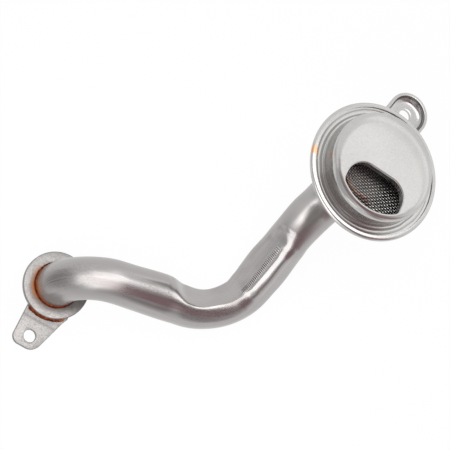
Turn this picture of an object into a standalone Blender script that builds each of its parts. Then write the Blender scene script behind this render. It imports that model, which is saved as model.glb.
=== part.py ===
# Oil pickup tube of an engine: a bent steel tube that joins a plug-in collar to a round strainer.
# The part lies as it comes to rest, strainer opening up, on the collar's spigot, the belly of its
# bend and the foot of its bracket. The spigot's axis and the strainer's axis are parallel and lean
# together. Sizes are in millimetres here and are turned into metres by mm().

import math

import bmesh
import bpy
from mathutils import Matrix, Vector

# Lie of the part: how far both axes lean from the vertical, and toward which side
lean_degrees = 26.8
lean_heading = 27.4

# Clearance left between pieces that touch
seat_gap = 0.3

# Tube
tube_diameter = 22.2
tube_wall = 1.5
tube_sides = 22
tube_step = 4.7

# Collar that plugs into the engine, with its face at height 0 on the spigot's axis
collar_diameter = 34.8
collar_thickness = 2.5
collar_edge = 0.5
spigot_diameter = 25.4
spigot_length = 12.3
spigot_bore = 18.4
spigot_chamfer = 0.9
tube_socket_depth = 5.0
ring_cord = 2.6
ring_groove_depth = 1.9
ring_groove_height = 3.2
ring_groove_below_ear = 4.0

# Bolt ear, a plate under the collar
ear_thickness = 2.5
ear_heading = -145.6
ear_reach = 29.0
ear_bolt_hole = 6.5
ear_end_margin = 6.6
ear_straight_side = 8.1
ear_straight_corner = 4.5
ear_sloping_corner = 6.0
ear_slope_at_end = 5.4
ear_slope_at_root = 12.1
ear_slope_root = 15.0
ear_root_angle = 47.2
ear_root_past_collar = 0.86
ear_ring_inset = 1.2
ear_ring_opening = 8.0
ear_step_past_collar = 1.8
ear_step_length = 1.2
ear_step_height = 0.5

# Where the middle of the strainer's rim lies from the middle of the collar's face
strainer_across = 157.2
strainer_along = 56.4
strainer_above = 29.4
strainer_heading = 20.1

# Strainer shell and its crimped rim, with the rim's plane at height 0 on the strainer's axis
rim_diameter = 69.2
rim_lip_width = 2.4
rim_flange_width = 4.3
screen_ledge_width = 2.6
screen_ledge_round = 0.9
shell_sheet = 0.8
shell_depth = 11.5
shell_corner = 0.4
bowl_slope_width = 9.2
bowl_round = 1.8
neck_length = 3.5
neck_round = 1.4

# Strainer cover with its raised plateau
cover_sheet = 0.8
plateau_height = 11.2
cover_flange_width = 7.2
cover_wall_draft = 3.5
cover_foot_round = 0.9
cover_shoulder = 2.8

# Inlet in the plateau, a window with one straight side and one side that follows the plateau
inlet_heading = -166.9
inlet_near_side = 4.0
inlet_far_margin = 0.4
inlet_half_length = 15.7
inlet_near_corner = 9.5
inlet_far_corner = 3.0
inlet_lip_depth = 3.5
inlet_lip_round = 0.6

# Screen between shell and cover
screen_thickness = 0.8
screen_pitch = 5.0
screen_bar = 1.4
screen_wave = 0.25
screen_heading = -2.5

# Bracket that carries the strainer from behind the tube's last bend
bracket_sheet = 1.5
bracket_foot_reach = 51.1
bracket_foot_radius = 11.3
bracket_end_half_width = 10.8
bracket_seat_depth = 24.0
bracket_wall_height = 4.5
bracket_cradle_wall_height = 4.0
bracket_corner = 3.6
bracket_slope = 33.0
bracket_knee = 9.0
bracket_cradle_start = 14.0
bracket_bolt_hole = 6.6

# Tube route from the middle of the collar's face, as the corners of its bends in the resting part
elbow_height = 22.4
elbow_bend = 17.3
first_corner = (28.4, 3.4, 16.2)
first_bend = 30.0
belly_corner = (85.8, -18.1, -11.2)
belly_bend = 28.0
rise_corner = (120.1, 28.1, 3.7)
rise_bend = 45.0
strainer_corner_depth = 38.0
strainer_bend = 24.0
tube_end_depth = 6.0

# Brazed joints
braze_foot = 1.3
braze_height = 1.5
heel_braze_inner = 4.2
heel_braze_outer = 6.2
heel_braze_inset = 3.0
heel_braze_most = 4.0
seam_width = 0.9
seam_start = -25.0
seam_end = 43.0

# Hollow faces of the brazed joints, as shares of their width and height
fillet_shape = ((0.0, 1.0), (0.3, 0.45), (1.0, 0.1))
seam_shape = ((0.0, 0.0), (1.0, 0.0), (0.4, 0.45), (0.0, 0.75))

# The tube's section where bending drew it in and where the clearance is pressed into the inner side
# of the belly bend, by distance along the tube: the flat's
# facing angle from the top toward the inner side, its depth, how much wider the section is across
# than high, and how far it is pushed toward the outer side
pressing = {
    "collar": {"at": 8.0, "facing": 45.0, "depth": 0.0, "wide": 0.0, "push": 0.0},
    "elbow": {"at": 30.0, "facing": 50.0, "depth": 0.0, "wide": -0.035, "push": -0.3},
    "round": {"at": 46.0, "facing": 50.0, "depth": 0.0, "wide": -0.015, "push": 0.15},
    "before": {"at": 71.0, "facing": 58.0, "depth": 0.0, "wide": 0.04, "push": -0.3},
    "kink": {"at": 82.0, "facing": 62.0, "depth": 3.4, "wide": -0.04, "push": 0.35},
    "belly": {"at": 97.0, "facing": 62.0, "depth": 3.9, "wide": -0.07, "push": 0.25},
    "late": {"at": 112.0, "facing": 55.0, "depth": 3.6, "wide": -0.05, "push": 0.2},
    "notch": {"at": 121.0, "facing": 46.0, "depth": 3.0, "wide": 0.0, "push": -0.2},
    "rise": {"at": 136.0, "facing": 30.0, "depth": 2.4, "wide": 0.05, "push": 0.2},
    "end": {"at": 150.0, "facing": 28.0, "depth": 2.0, "wide": -0.02, "push": 0.45},
    "after": {"at": 159.0, "facing": 28.0, "depth": 0.0, "wide": -0.045, "push": 0.2},
    "neck": {"at": 172.0, "facing": 28.0, "depth": 0.0, "wide": 0.0, "push": 0.0},
}
press_sharpness = 14.0

# How finely round forms are stepped
round_sides = 36
cutter_sides = 28
o_ring_sides = 32
cord_sides = 8
ear_ring_pieces = 26
ear_corner_step = 1.4
seam_pieces = 14
screen_edge_pieces = 48
strap_step = 3.0
foot_pieces = 14
heel_pieces = 6
skin_step = 0.05
shoulder_angles = (67, 44)
corner_midpoint = 0.29

tube_radius = tube_diameter / 2
collar_radius = collar_diameter / 2
rim_radius = rim_diameter / 2
ledge_radius = rim_radius - rim_flange_width
mouth_radius = ledge_radius - screen_ledge_width
cover_wall_radius = rim_radius - cover_flange_width
plateau_radius = cover_wall_radius - cover_wall_draft


def mm(value):
    return value / 1000


def clear_scene():
    for old in list(bpy.data.objects):
        bpy.data.objects.remove(old, do_unlink=True)


def new_collection(name):
    collection = bpy.data.collections.new(name)
    bpy.context.scene.collection.children.link(collection)
    return collection


def finish(name, colour, roughness, metallic):
    """A plain material with the part's colour, roughness and metallic value."""
    made = bpy.data.materials.new(name)
    made.use_nodes = True
    shader = made.node_tree.nodes["Principled BSDF"]
    shader.inputs["Base Color"].default_value = (*colour, 1)
    shader.inputs["Roughness"].default_value = roughness
    shader.inputs["Metallic"].default_value = metallic
    return made


def add_object(name, mesh, seat, look, collection):
    made = bpy.data.objects.new(name, mesh)
    collection.objects.link(made)
    made.parent = seat
    mesh.materials.append(look)
    mesh.shade_smooth()
    mesh.set_sharp_from_angle(angle=math.radians(35))
    return made


def mesh_from(name, build):
    """A mesh from a bmesh in millimetres, scaled to metres."""
    bmesh.ops.scale(build, vec=(mm(1), mm(1), mm(1)), verts=build.verts)
    mesh = bpy.data.meshes.new(name)
    build.to_mesh(mesh)
    build.free()
    return mesh


def leaning_seat(name, place, turn, root):
    """An empty at a place on the part, its Z along the common leaning axis and turned about it."""
    seat = bpy.data.objects.new(name, None)
    bpy.context.scene.collection.objects.link(seat)
    seat.parent = root
    seat.matrix_local = Matrix.Translation([mm(v) for v in place]) @ leaning_turn(turn).to_4x4()
    return seat


def leaning_turn(turn):
    heading = Matrix.Rotation(math.radians(lean_heading), 3, "Z")
    tilt = Matrix.Rotation(math.radians(lean_degrees), 3, "Y")
    return heading @ tilt @ Matrix.Rotation(math.radians(turn), 3, "Z")


def profile_mesh(name, points, closed):
    build = bmesh.new()
    corners = [build.verts.new((radius, 0, height)) for radius, height in points]
    for start, end in zip(corners, corners[1:]):
        build.edges.new((start, end))
    if closed:
        build.edges.new((corners[-1], corners[0]))
    return mesh_from(name, build)


def turn_profile(piece, segments):
    screw = piece.modifiers.new("turned", "SCREW")
    screw.angle = math.tau
    screw.steps = segments
    screw.render_steps = segments
    screw.use_merge_vertices = True
    screw.merge_threshold = 0.00001
    screw.use_smooth_shade = True


def thicken(piece, sheet, side):
    """Gives an open surface its sheet: side 0 splits it, and side -1 puts it behind the surface."""
    solid = piece.modifiers.new("sheet", "SOLIDIFY")
    solid.thickness = mm(sheet)
    solid.offset = side
    solid.use_even_offset = True


def turned_solid(name, points, seat, look, collection, segments=round_sides):
    """A closed profile, listed down its outer side and back up its inner side, turned about Z."""
    piece = add_object(name, profile_mesh(name, points, True), seat, look, collection)
    turn_profile(piece, segments)
    return piece


def cut(piece, cutter):
    boolean = piece.modifiers.new("cut", "BOOLEAN")
    boolean.operation = "DIFFERENCE"
    boolean.object = cutter
    boolean.solver = "EXACT"


def round_cutter(name, radius, place, depth, seat, collection):
    build = bmesh.new()
    bmesh.ops.create_cone(
        build, cap_ends=True, segments=cutter_sides, radius1=radius, radius2=radius, depth=depth
    )
    bmesh.ops.translate(build, vec=place, verts=build.verts)
    cutter = bpy.data.objects.new(name, mesh_from(name, build))
    collection.objects.link(cutter)
    cutter.parent = seat
    cutter.hide_render = True
    cutter.display_type = "WIRE"
    return cutter


def rounded_route(corners, bends, step):
    """Points along straight legs joined by round bends, with the bends stepped finely."""
    route = [corners[0]]
    for before, corner, after, bend in zip(corners, corners[1:], corners[2:], bends):
        back = (before - corner).normalized()
        on = (after - corner).normalized()
        half_turn = (math.pi - back.angle(on)) / 2
        middle = corner + (back + on).normalized() * bend / math.cos(half_turn)
        start = corner + back * bend * math.tan(half_turn) - middle
        end = corner + on * bend * math.tan(half_turn) - middle
        pieces = max(2, round(2 * half_turn * bend / step))
        for k in range(pieces + 1):
            turned = 2 * half_turn * k / pieces
            share = math.sin(2 * half_turn)
            spoke = start * math.sin(2 * half_turn - turned) + end * math.sin(turned)
            route.append(middle + spoke / share)
    route.append(corners[-1])
    return [p for k, p in enumerate(route) if k == 0 or (p - route[k - 1]).length > 0.01]


def evenly_spaced(route, spacing):
    """The same route with points at one spacing, and the distance of each along it."""
    distances = [0.0]
    for start, end in zip(route, route[1:]):
        distances.append(distances[-1] + (end - start).length)
    count = round(distances[-1] / spacing)
    points = []
    places = [distances[-1] * k / count for k in range(count + 1)]
    leg = 0
    for place in places:
        while leg < len(route) - 2 and distances[leg + 1] < place:
            leg += 1
        share = (place - distances[leg]) / (distances[leg + 1] - distances[leg])
        points.append(route[leg].lerp(route[leg + 1], share))
    return points, places


def tube_corners():
    axis = leaning_turn(0) @ Vector((0, 0, 1))
    rim = Vector((strainer_across, strainer_along, strainer_above))
    return [
        -axis * (tube_socket_depth - seat_gap),
        axis * elbow_height,
        Vector(first_corner),
        Vector(belly_corner),
        Vector(rise_corner),
        rim - axis * strainer_corner_depth,
        rim - axis * tube_end_depth,
    ]


def pressed_at(distance):
    """The pressing's values at a distance along the tube, eased between the listed places."""
    places = list(pressing.values())
    if not places[0]["at"] < distance < places[-1]["at"]:
        return {"facing": 45.0, "depth": 0.0, "wide": 0.0, "push": 0.0}
    for start, end in zip(places, places[1:]):
        if distance <= end["at"]:
            share = (distance - start["at"]) / (end["at"] - start["at"])
            eased = share * share * (3 - 2 * share)
            return {key: start[key] + (end[key] - start[key]) * eased for key in start}
    return places[-1]


def section_radius(angle, press):
    """Distance to the tube's skin at an angle from the top toward the inner side of the bend."""
    high = math.cos(angle) / (tube_radius * (1 - press["wide"]))
    across = math.sin(angle) / (tube_radius * (1 + press["wide"]))
    full = 1 / math.hypot(high, across)
    facing = math.cos(angle - math.radians(press["facing"]))
    flat = max(facing, 0.0) / (tube_radius - press["depth"])
    if press["depth"] == 0:
        return full
    return (full**-press_sharpness + flat**press_sharpness) ** (-1 / press_sharpness)


def tube_ring(place, along, press):
    top = (Vector((0, 0, 1)) - along * along.z).normalized()
    inner = top.cross(along)
    middle = place - inner * press["push"]
    ring = []
    for k in range(tube_sides):
        angle = -math.tau * k / tube_sides
        reach = section_radius(angle, press)
        ring.append(middle + (top * math.cos(angle) + inner * math.sin(angle)) * reach)
    return ring


def loft(build, rings, closed):
    """Faces between rings of equally many points."""
    rows = [[build.verts.new(point) for point in ring] for ring in rings]
    count = len(rows[0])
    for lower, upper in zip(rows, rows[1:]):
        for k in range(count if closed else count - 1):
            after = (k + 1) % count
            build.faces.new((lower[k], lower[after], upper[after], upper[k]))
    return rows


def make_tube(root, look, collection):
    bends = (elbow_bend, first_bend, belly_bend, rise_bend, strainer_bend)
    route = rounded_route(tube_corners(), bends, 1.0)
    places, distances = evenly_spaced(route, tube_step)
    build = bmesh.new()
    rings = []
    for k, (place, distance) in enumerate(zip(places, distances)):
        before = places[max(k - 1, 0)]
        after = places[min(k + 1, len(places) - 1)]
        rings.append(tube_ring(place, (after - before).normalized(), pressed_at(distance)))
    axis = leaning_turn(0) @ Vector((0, 0, 1))
    rings[0] = tube_ring(places[0], axis, pressed_at(0))
    rings[-1] = tube_ring(places[-1], axis, pressed_at(0))
    loft(build, rings, True)
    tube = add_object("pickup_tube", mesh_from("pickup_tube", build), root, look, collection)
    thicken(tube, tube_wall, -1)


def make_collar(seat, look, collection):
    socket = tube_radius + seat_gap
    spigot = spigot_diameter / 2
    bottom = -collar_thickness - spigot_length
    groove_top = -collar_thickness - seat_gap - ear_thickness - ring_groove_below_ear
    groove_floor = spigot - ring_groove_depth
    points = [
        (collar_radius - collar_edge, 0),
        (collar_radius, -collar_edge),
        (collar_radius, -collar_thickness),
        (spigot, -collar_thickness),
        (spigot, groove_top),
        (groove_floor, groove_top),
        (groove_floor, groove_top - ring_groove_height),
        (spigot, groove_top - ring_groove_height),
        (spigot, bottom + spigot_chamfer),
        (spigot - spigot_chamfer, bottom),
        (spigot_bore / 2, bottom),
        (spigot_bore / 2, -tube_socket_depth),
        (socket, -tube_socket_depth),
        (socket, 0),
    ]
    turned_solid("flange_collar", points, seat, look, collection)
    return groove_floor, groove_top - ring_groove_height / 2


def make_o_ring(groove, seat, look, collection):
    groove_floor, height = groove
    cord = ring_cord / 2
    middle = groove_floor + seat_gap + cord
    points = []
    for k in range(cord_sides):
        angle = math.pi / 2 - math.tau * k / cord_sides
        points.append((middle + cord * math.cos(angle), height + cord * math.sin(angle)))
    turned_solid("o_ring", points, seat, look, collection, o_ring_sides)


def arc(middle, radius, start, end, pieces):
    """Points of an arc in the plane, with its angles in degrees."""
    points = []
    for k in range(pieces + 1):
        angle = math.radians(start + (end - start) * k / pieces)
        points.append((middle[0] + radius * math.cos(angle), middle[1] + radius * math.sin(angle)))
    return points


def ear_outline():
    """The ring that sits under the collar and the tab that reaches out to the bolt."""
    ring_radius = collar_radius - ear_ring_inset
    side_angle = math.degrees(math.asin(ear_straight_side / ring_radius))
    ring_start = ear_root_angle + ear_ring_opening
    ring = arc((0, 0), ring_radius, ring_start, 360 - side_angle, ear_ring_pieces)
    ear_end = ear_reach + ear_end_margin
    corners = [
        Vector((*ring[-1], 0)),
        Vector((ear_end, -ear_straight_side, 0)),
        Vector((ear_end, ear_slope_at_end, 0)),
        Vector((ear_slope_root, ear_slope_at_root, 0)),
    ]
    tab = rounded_route(corners, (ear_straight_corner, ear_sloping_corner), ear_corner_step)
    root = math.radians(ear_root_angle)
    root_reach = collar_radius + ear_root_past_collar
    root_tip = (root_reach * math.cos(root), root_reach * math.sin(root))
    return ring + [(point.x, point.y) for point in tab[1:]] + [root_tip]


def make_ear(seat, look, collection, cutters):
    front = -collar_thickness - seat_gap
    build = bmesh.new()
    outline = [build.verts.new((x, y, front - ear_thickness)) for x, y in ear_outline()]
    face = build.faces.new(outline)
    raised = bmesh.ops.extrude_face_region(build, geom=[face])["geom"]
    moved = [item for item in raised if isinstance(item, bmesh.types.BMVert)]
    bmesh.ops.translate(build, vec=(0, 0, ear_thickness), verts=moved)
    step_start = collar_radius + ear_step_past_collar
    step_end = step_start + ear_step_length
    for reach in (step_start, step_end):
        everything = build.verts[:] + build.edges[:] + build.faces[:]
        bmesh.ops.bisect_plane(build, geom=everything, plane_co=(reach, 0, 0), plane_no=(1, 0, 0))
    for vert in build.verts:
        if vert.co.x > (step_start + step_end) / 2:
            vert.co.z += ear_step_height
    bmesh.ops.recalc_face_normals(build, faces=build.faces)
    ear = add_object("bolt_ear", mesh_from("bolt_ear", build), seat, look, collection)
    middle = front - ear_thickness / 2
    hole = (ear_reach, 0, middle)
    depth = 4 * ear_thickness
    cut(ear, round_cutter("ear_hole", ear_bolt_hole / 2, hole, depth, seat, cutters))
    spigot = spigot_diameter / 2 + seat_gap
    cut(ear, round_cutter("ear_bore", spigot, (0, 0, middle), depth, seat, cutters))


def make_fillet_ring(name, inner, height, seat, look, collection):
    """A ring of braze in the corner between a round wall and the flat it stands on."""
    points = [(inner + braze_foot * x, height + braze_height * z) for x, z in fillet_shape]
    points += [(inner + braze_foot, height), (inner, height)]
    turned_solid(name, points, seat, look, collection)


def make_ear_seam(seat, look, collection):
    """The run of braze along the collar's edge where it meets the ear."""
    bottom = -collar_thickness
    inner = collar_radius + seat_gap
    build = bmesh.new()
    rings = []
    for k in range(seam_pieces + 1):
        angle = math.radians(seam_start + (seam_end - seam_start) * k / seam_pieces)
        out = Vector((math.cos(angle), math.sin(angle), 0))
        ring = []
        for across, high in seam_shape:
            up = Vector((0, 0, bottom + collar_thickness * high))
            ring.append(out * (inner + seam_width * across) + up)
        rings.append(ring)
    rows = loft(build, rings, True)
    build.faces.new(rows[0])
    build.faces.new(reversed(rows[-1]))
    bmesh.ops.recalc_face_normals(build, faces=build.faces)
    add_object("ear_braze_seam", mesh_from("ear_braze_seam", build), seat, look, collection)


def make_shell(seat, look, collection):
    """The strainer's back, one pressing from the tube's neck out to the bead rolled over the rim."""
    half = shell_sheet / 2
    flange_middle = -cover_sheet / 2
    bead = cover_sheet / 2 + seat_gap + half
    flange = flange_middle - bead
    neck = tube_radius + seat_gap + half
    bead_radius = rim_radius - half - bead
    floor = -shell_depth
    ledge_floor = screen_level() - screen_thickness / 2 - screen_wave - seat_gap - half
    bottom = mouth_radius - bowl_slope_width
    neck_soft = neck_round * corner_midpoint
    ledge_soft = screen_ledge_round * corner_midpoint
    points = [
        (neck, floor - neck_length),
        (neck, floor - neck_round),
        (neck + neck_soft, floor - neck_soft),
        (neck + neck_round, floor),
        (bottom, floor),
        (bottom + bowl_round, floor + bowl_round / 2),
        (mouth_radius - screen_ledge_round, ledge_floor - screen_ledge_round),
        (mouth_radius, ledge_floor - ledge_soft),
        (mouth_radius + screen_ledge_round, ledge_floor),
        (ledge_radius - shell_corner, ledge_floor),
        (ledge_radius, ledge_floor + shell_corner),
        (ledge_radius, flange - shell_corner),
        (ledge_radius + shell_corner, flange),
    ]
    for degrees in (-90, -45, 0, 45, 90):
        angle = math.radians(degrees)
        height = flange_middle + bead * math.sin(angle)
        points.append((bead_radius + bead * math.cos(angle), height))
    points.append((rim_radius - rim_lip_width, flange_middle + bead))
    mesh = profile_mesh("strainer_shell", points, False)
    shell = add_object("strainer_shell", mesh, seat, look, collection)
    turn_profile(shell, round_sides)
    thicken(shell, shell_sheet, 0)


def screen_level():
    return -cover_sheet - seat_gap - screen_wave - screen_thickness / 2


def inlet_outline(grown):
    """Points round the window grown by that much, from the middle of its far side's right end."""
    inlet_far_side = plateau_radius - inlet_far_margin
    far_middle = inlet_half_length - inlet_far_corner
    far_reach = inlet_far_side - inlet_far_corner
    far_angle = math.degrees(math.asin(far_middle / far_reach))
    far_along = math.sqrt(far_reach**2 - far_middle**2)
    near_along = inlet_near_side + inlet_near_corner
    near_middle = inlet_half_length - inlet_near_corner
    far = arc((0, 0), inlet_far_side + grown, -far_angle, far_angle, 12)
    far_corner = arc((far_along, far_middle), inlet_far_corner + grown, far_angle, 90, 4)
    near_corner = arc((near_along, near_middle), inlet_near_corner + grown, 90, 180, 8)
    side = far_corner[1:] + near_corner
    near = [(inlet_near_side - grown, near_middle * share) for share in (0.6, 0.2)]
    half = side + near
    return far + half + [(x, -y) for x, y in reversed(half)]


def angles_for(outline):
    """An angle round the axis for each point of the window: its own on the far side, and the
    rest of the turn shared out by distance along the outline."""
    far_count = 13
    own = [math.atan2(y, x) for x, y in outline[:far_count]]
    rest = outline[far_count - 1:] + outline[:1]
    steps = [math.dist(start, end) for start, end in zip(rest, rest[1:])]
    gone = 0.0
    turn_left = math.tau - (own[-1] - own[0])
    for step in steps[:-1]:
        gone += step
        own.append(own[far_count - 1] + turn_left * gone / sum(steps))
    return own


def plateau_level(radius):
    """Height of the middle of the cover's sheet at a radius, flat and then round the shoulder."""
    half = cover_sheet / 2
    bend = cover_shoulder - half
    past = min(max(radius - plateau_radius, 0), bend)
    return plateau_height - half - bend + math.sqrt(bend**2 - past**2)


def make_cover(seat, look, collection):
    """One pressing: flange, drafted wall, raised plateau, and the window's lip turned inward."""
    half = cover_sheet / 2
    flange = -half
    wall = cover_wall_radius - half
    bend = cover_shoulder - half
    foot_soft = cover_foot_round * corner_midpoint
    outer = [
        (rim_radius - shell_sheet - half - seat_gap, flange),
        (wall + cover_foot_round, flange),
        (wall + foot_soft, flange + foot_soft),
        (wall, flange + cover_foot_round),
    ]
    for degrees in (90, *shoulder_angles):
        radius = plateau_radius + bend * math.sin(math.radians(degrees))
        outer.append((radius, plateau_level(radius)))
    window = []
    for degrees in (0, 30, 60, 90):
        angle = math.radians(degrees)
        grown = half + inlet_lip_round * (1 - math.sin(angle))
        window.append((grown, inlet_lip_round * (1 - math.cos(angle))))
    window.append((half, inlet_lip_depth - half))
    turn = math.radians(inlet_heading)
    first = inlet_outline(window[0][0])
    facing = angles_for(first)
    build = bmesh.new()
    rings = []
    for radius, height in outer:
        rings.append([Vector((radius * math.cos(a), radius * math.sin(a), height)) for a in facing])
    shoulder = outer[-1][0]
    blend = []
    for angle, (x, y) in zip(facing, first):
        inner = math.hypot(x, y)
        radius = max(plateau_radius, inner + (shoulder - inner) / 3)
        height = plateau_level(radius)
        blend.append(Vector((radius * math.cos(angle), radius * math.sin(angle), height)))
    rings.append(blend)
    for grown, drop in window:
        ring = []
        for (x, y), (start_x, start_y) in zip(inlet_outline(grown), first):
            ring.append(Vector((x, y, plateau_level(math.hypot(start_x, start_y)) - drop)))
        rings.append(ring)
    loft(build, rings, True)
    bmesh.ops.rotate(build, cent=(0, 0, 0), matrix=Matrix.Rotation(turn, 3, "Z"), verts=build.verts)
    cover = add_object("strainer_cover", mesh_from("strainer_cover", build), seat, look, collection)
    thicken(cover, cover_sheet, 0)


def make_screen(seat, look, collection):
    """A disc whose free middle is a woven lattice: its crossings rise and fall in turn."""
    free = mouth_radius - shell_sheet / 2
    rim = ledge_radius - shell_sheet / 2 - seat_gap
    hole = (screen_pitch - screen_bar) / 2
    reach = math.ceil(free / screen_pitch)
    build = bmesh.new()
    corners = {}

    def corner(i, j):
        if (i, j) not in corners:
            corners[i, j] = build.verts.new(((i - 0.5) * screen_pitch, (j - 0.5) * screen_pitch, 0))
        return corners[i, j]

    for i in range(-reach, reach + 1):
        for j in range(-reach, reach + 1):
            far = math.hypot(abs(i) + 0.5, abs(j) + 0.5) * screen_pitch
            if far > free:
                continue
            around = [corner(i, j), corner(i + 1, j), corner(i + 1, j + 1), corner(i, j + 1)]
            inside = []
            for sx, sy in ((-1, -1), (1, -1), (1, 1), (-1, 1)):
                place = (i * screen_pitch + sx * hole, j * screen_pitch + sy * hole, 0)
                inside.append(build.verts.new(place))
            for k in range(4):
                after = (k + 1) % 4
                build.faces.new((around[k], around[after], inside[after], inside[k]))
    lattice_edge = [e for e in build.edges if e.is_boundary and not is_hole_edge(e, corners)]
    round_edge = arc((0, 0), rim, 0, 360, screen_edge_pieces)[:-1]
    circle = [build.verts.new((x, y, 0)) for x, y in round_edge]
    circle_edge = [build.edges.new((a, b)) for a, b in zip(circle, circle[1:] + circle[:1])]
    bmesh.ops.triangle_fill(build, use_beauty=True, edges=lattice_edge + circle_edge)
    for (i, j), vert in corners.items():
        vert.co.z = screen_wave if (i + j) % 2 else -screen_wave
    bmesh.ops.recalc_face_normals(build, faces=build.faces)
    turn = Matrix.Rotation(math.radians(screen_heading), 3, "Z")
    bmesh.ops.rotate(build, cent=(0, 0, 0), matrix=turn, verts=build.verts)
    bmesh.ops.translate(build, vec=(0, 0, screen_level()), verts=build.verts)
    screen = add_object("screen", mesh_from("screen", build), seat, look, collection)
    thicken(screen, screen_thickness, 0)


def is_hole_edge(edge, corners):
    return not all(vert in corners.values() for vert in edge.verts)


def heel_of_last_bend():
    """Middle and radius of the tube's last bend in the strainer's own X and Z, and its start's slope."""
    turn = leaning_turn(strainer_heading).transposed()
    rim = Vector((strainer_across, strainer_along, strainer_above))
    come = turn @ (rim - Vector(rise_corner)) - Vector((0, 0, strainer_corner_depth))
    slope = math.atan2(come.z, math.hypot(come.x, come.y))
    tangent = strainer_bend * math.tan((math.pi / 2 - slope) / 2)
    start_x = -tangent * math.cos(slope)
    start_z = -strainer_corner_depth - tangent * math.sin(slope)
    middle_x = start_x - strainer_bend * math.sin(slope)
    middle_z = start_z + strainer_bend * math.cos(slope)
    return middle_x, middle_z, slope


def bracket_route():
    """The middle of the strap's sheet in X and Z: round the tube's heel, up, and along the foot."""
    middle_x, middle_z, _ = heel_of_last_bend()
    around = strainer_bend + tube_radius + seat_gap + bracket_sheet / 2
    start = math.radians(bracket_cradle_start)
    slope = math.radians(bracket_slope)
    foot = -bracket_seat_depth - bracket_sheet / 2
    first = Vector((middle_x + around * math.sin(start), 0, middle_z - around * math.cos(start)))
    last = Vector((middle_x + around * math.sin(slope), 0, middle_z - around * math.cos(slope)))
    bend = around * math.tan((slope - start) / 2)
    corner = first + Vector((math.cos(start), 0, math.sin(start))) * bend
    rise = (foot - last.z) / math.sin(slope)
    knee = last + Vector((math.cos(slope), 0, math.sin(slope))) * rise
    end = Vector((bracket_foot_reach, 0, foot))
    return rounded_route([first, corner, knee, end], (around, bracket_knee), strap_step)


def make_bracket(seat, look, collection, cutters):
    """A dished strap: a flat floor with a wall turned up along both sides and round the foot."""
    half = bracket_sheet / 2
    route = bracket_route()
    across = [(1, 0, 0)]
    for degrees in (0, 30, 60, 90):
        angle = math.radians(degrees)
        inset = bracket_corner * (1 - math.cos(angle))
        across.append((0, inset, bracket_corner * (1 - math.sin(angle))))
    build = bmesh.new()
    rings = []
    start_x = route[0].x
    for side in (1, -1):
        stations = list(enumerate(route))
        if side < 0:
            stations.reverse()
        for k, place in stations:
            before = route[max(k - 1, 0)]
            after = route[min(k + 1, len(route) - 1)]
            up = Vector((0, -1, 0)).cross((after - before).normalized())
            share = (place.x - start_x) / (bracket_foot_reach - start_x)
            width = bracket_end_half_width + (bracket_foot_radius - bracket_end_half_width) * share
            wall = bracket_cradle_wall_height
            wall += (bracket_wall_height - wall) * share
            ring = []
            for wall_share, inset, rise in across:
                out = Vector((0, side * (width - half - inset), 0))
                ring.append(place + out + up * (wall_share * wall + (1 - wall_share) * rise))
            ring.append(place.copy())
            rings.append(ring)
        if side > 0:
            rings += foot_rings(route[-1], across)
    loft(build, rings, False)
    bmesh.ops.remove_doubles(build, verts=build.verts, dist=0.001)
    bmesh.ops.recalc_face_normals(build, faces=build.faces)
    bracket = add_object("support_bracket", mesh_from("support_bracket", build), seat, look, collection)
    thicken(bracket, bracket_sheet, 0)
    place = (bracket_foot_reach, 0, -bracket_seat_depth - half)
    depth = 8 * bracket_sheet
    cut(bracket, round_cutter("bracket_hole", bracket_bolt_hole / 2, place, depth, seat, cutters))


def foot_rings(middle, across):
    rings = []
    for k in range(1, foot_pieces):
        angle = math.pi / 2 - math.pi * k / foot_pieces
        out = Vector((math.cos(angle), math.sin(angle), 0))
        ring = []
        for wall_share, inset, rise in across:
            height = wall_share * bracket_wall_height + (1 - wall_share) * rise
            reach = bracket_foot_radius - bracket_sheet / 2 - inset
            ring.append(middle + out * reach + Vector((0, 0, height)))
        ring.append(middle.copy())
        rings.append(ring)
    return rings


def past_heel(point):
    """How far a point in the strainer's frame is outside the skin of the tube's last bend."""
    middle_x, middle_z, _ = heel_of_last_bend()
    turn = leaning_turn(strainer_heading).transposed()
    rim = Vector((strainer_across, strainer_along, strainer_above))
    run = turn @ (rim - Vector(rise_corner))
    forward = Vector((run.x, run.y, 0)).normalized()
    side = Vector((-forward.y, forward.x, 0))
    reach = point - forward * middle_x - Vector((0, 0, middle_z))
    aside = reach.dot(side)
    around = (reach - side * aside).length - strainer_bend
    return math.hypot(around, aside) - tube_radius


def make_bracket_braze(seat, look, collection):
    """Wedges of braze between the tube's heel and the strap, one along each side."""
    middle_x, middle_z, _ = heel_of_last_bend()
    middle = Vector((middle_x, 0, middle_z))
    floor = strainer_bend + tube_radius
    for name, side in (("bracket_braze_left", 1), ("bracket_braze_right", -1)):
        build = bmesh.new()
        rings = []
        for k in range(heel_pieces + 1):
            share = k / heel_pieces
            first = bracket_cradle_start + heel_braze_inset
            last = bracket_slope - heel_braze_inset
            angle = math.radians(first + (last - first) * share)
            down = Vector((math.sin(angle), 0, -math.cos(angle)))
            inner = middle + down * floor + Vector((0, side * heel_braze_inner, 0))
            outer = middle + down * floor + Vector((0, side * heel_braze_outer, 0))
            ring = [inner, outer]
            for start in (outer, inner):
                lift = 0.0
                while past_heel(start - down * (lift + skin_step)) > seat_gap:
                    lift += skin_step
                    if lift > heel_braze_most:
                        break
                ring.append(start - down * lift)
            rings.append(ring)
        rows = loft(build, rings, True)
        build.faces.new(rows[0])
        build.faces.new(reversed(rows[-1]))
        bmesh.ops.recalc_face_normals(build, faces=build.faces)
        add_object(name, mesh_from(name, build), seat, look, collection)


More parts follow.
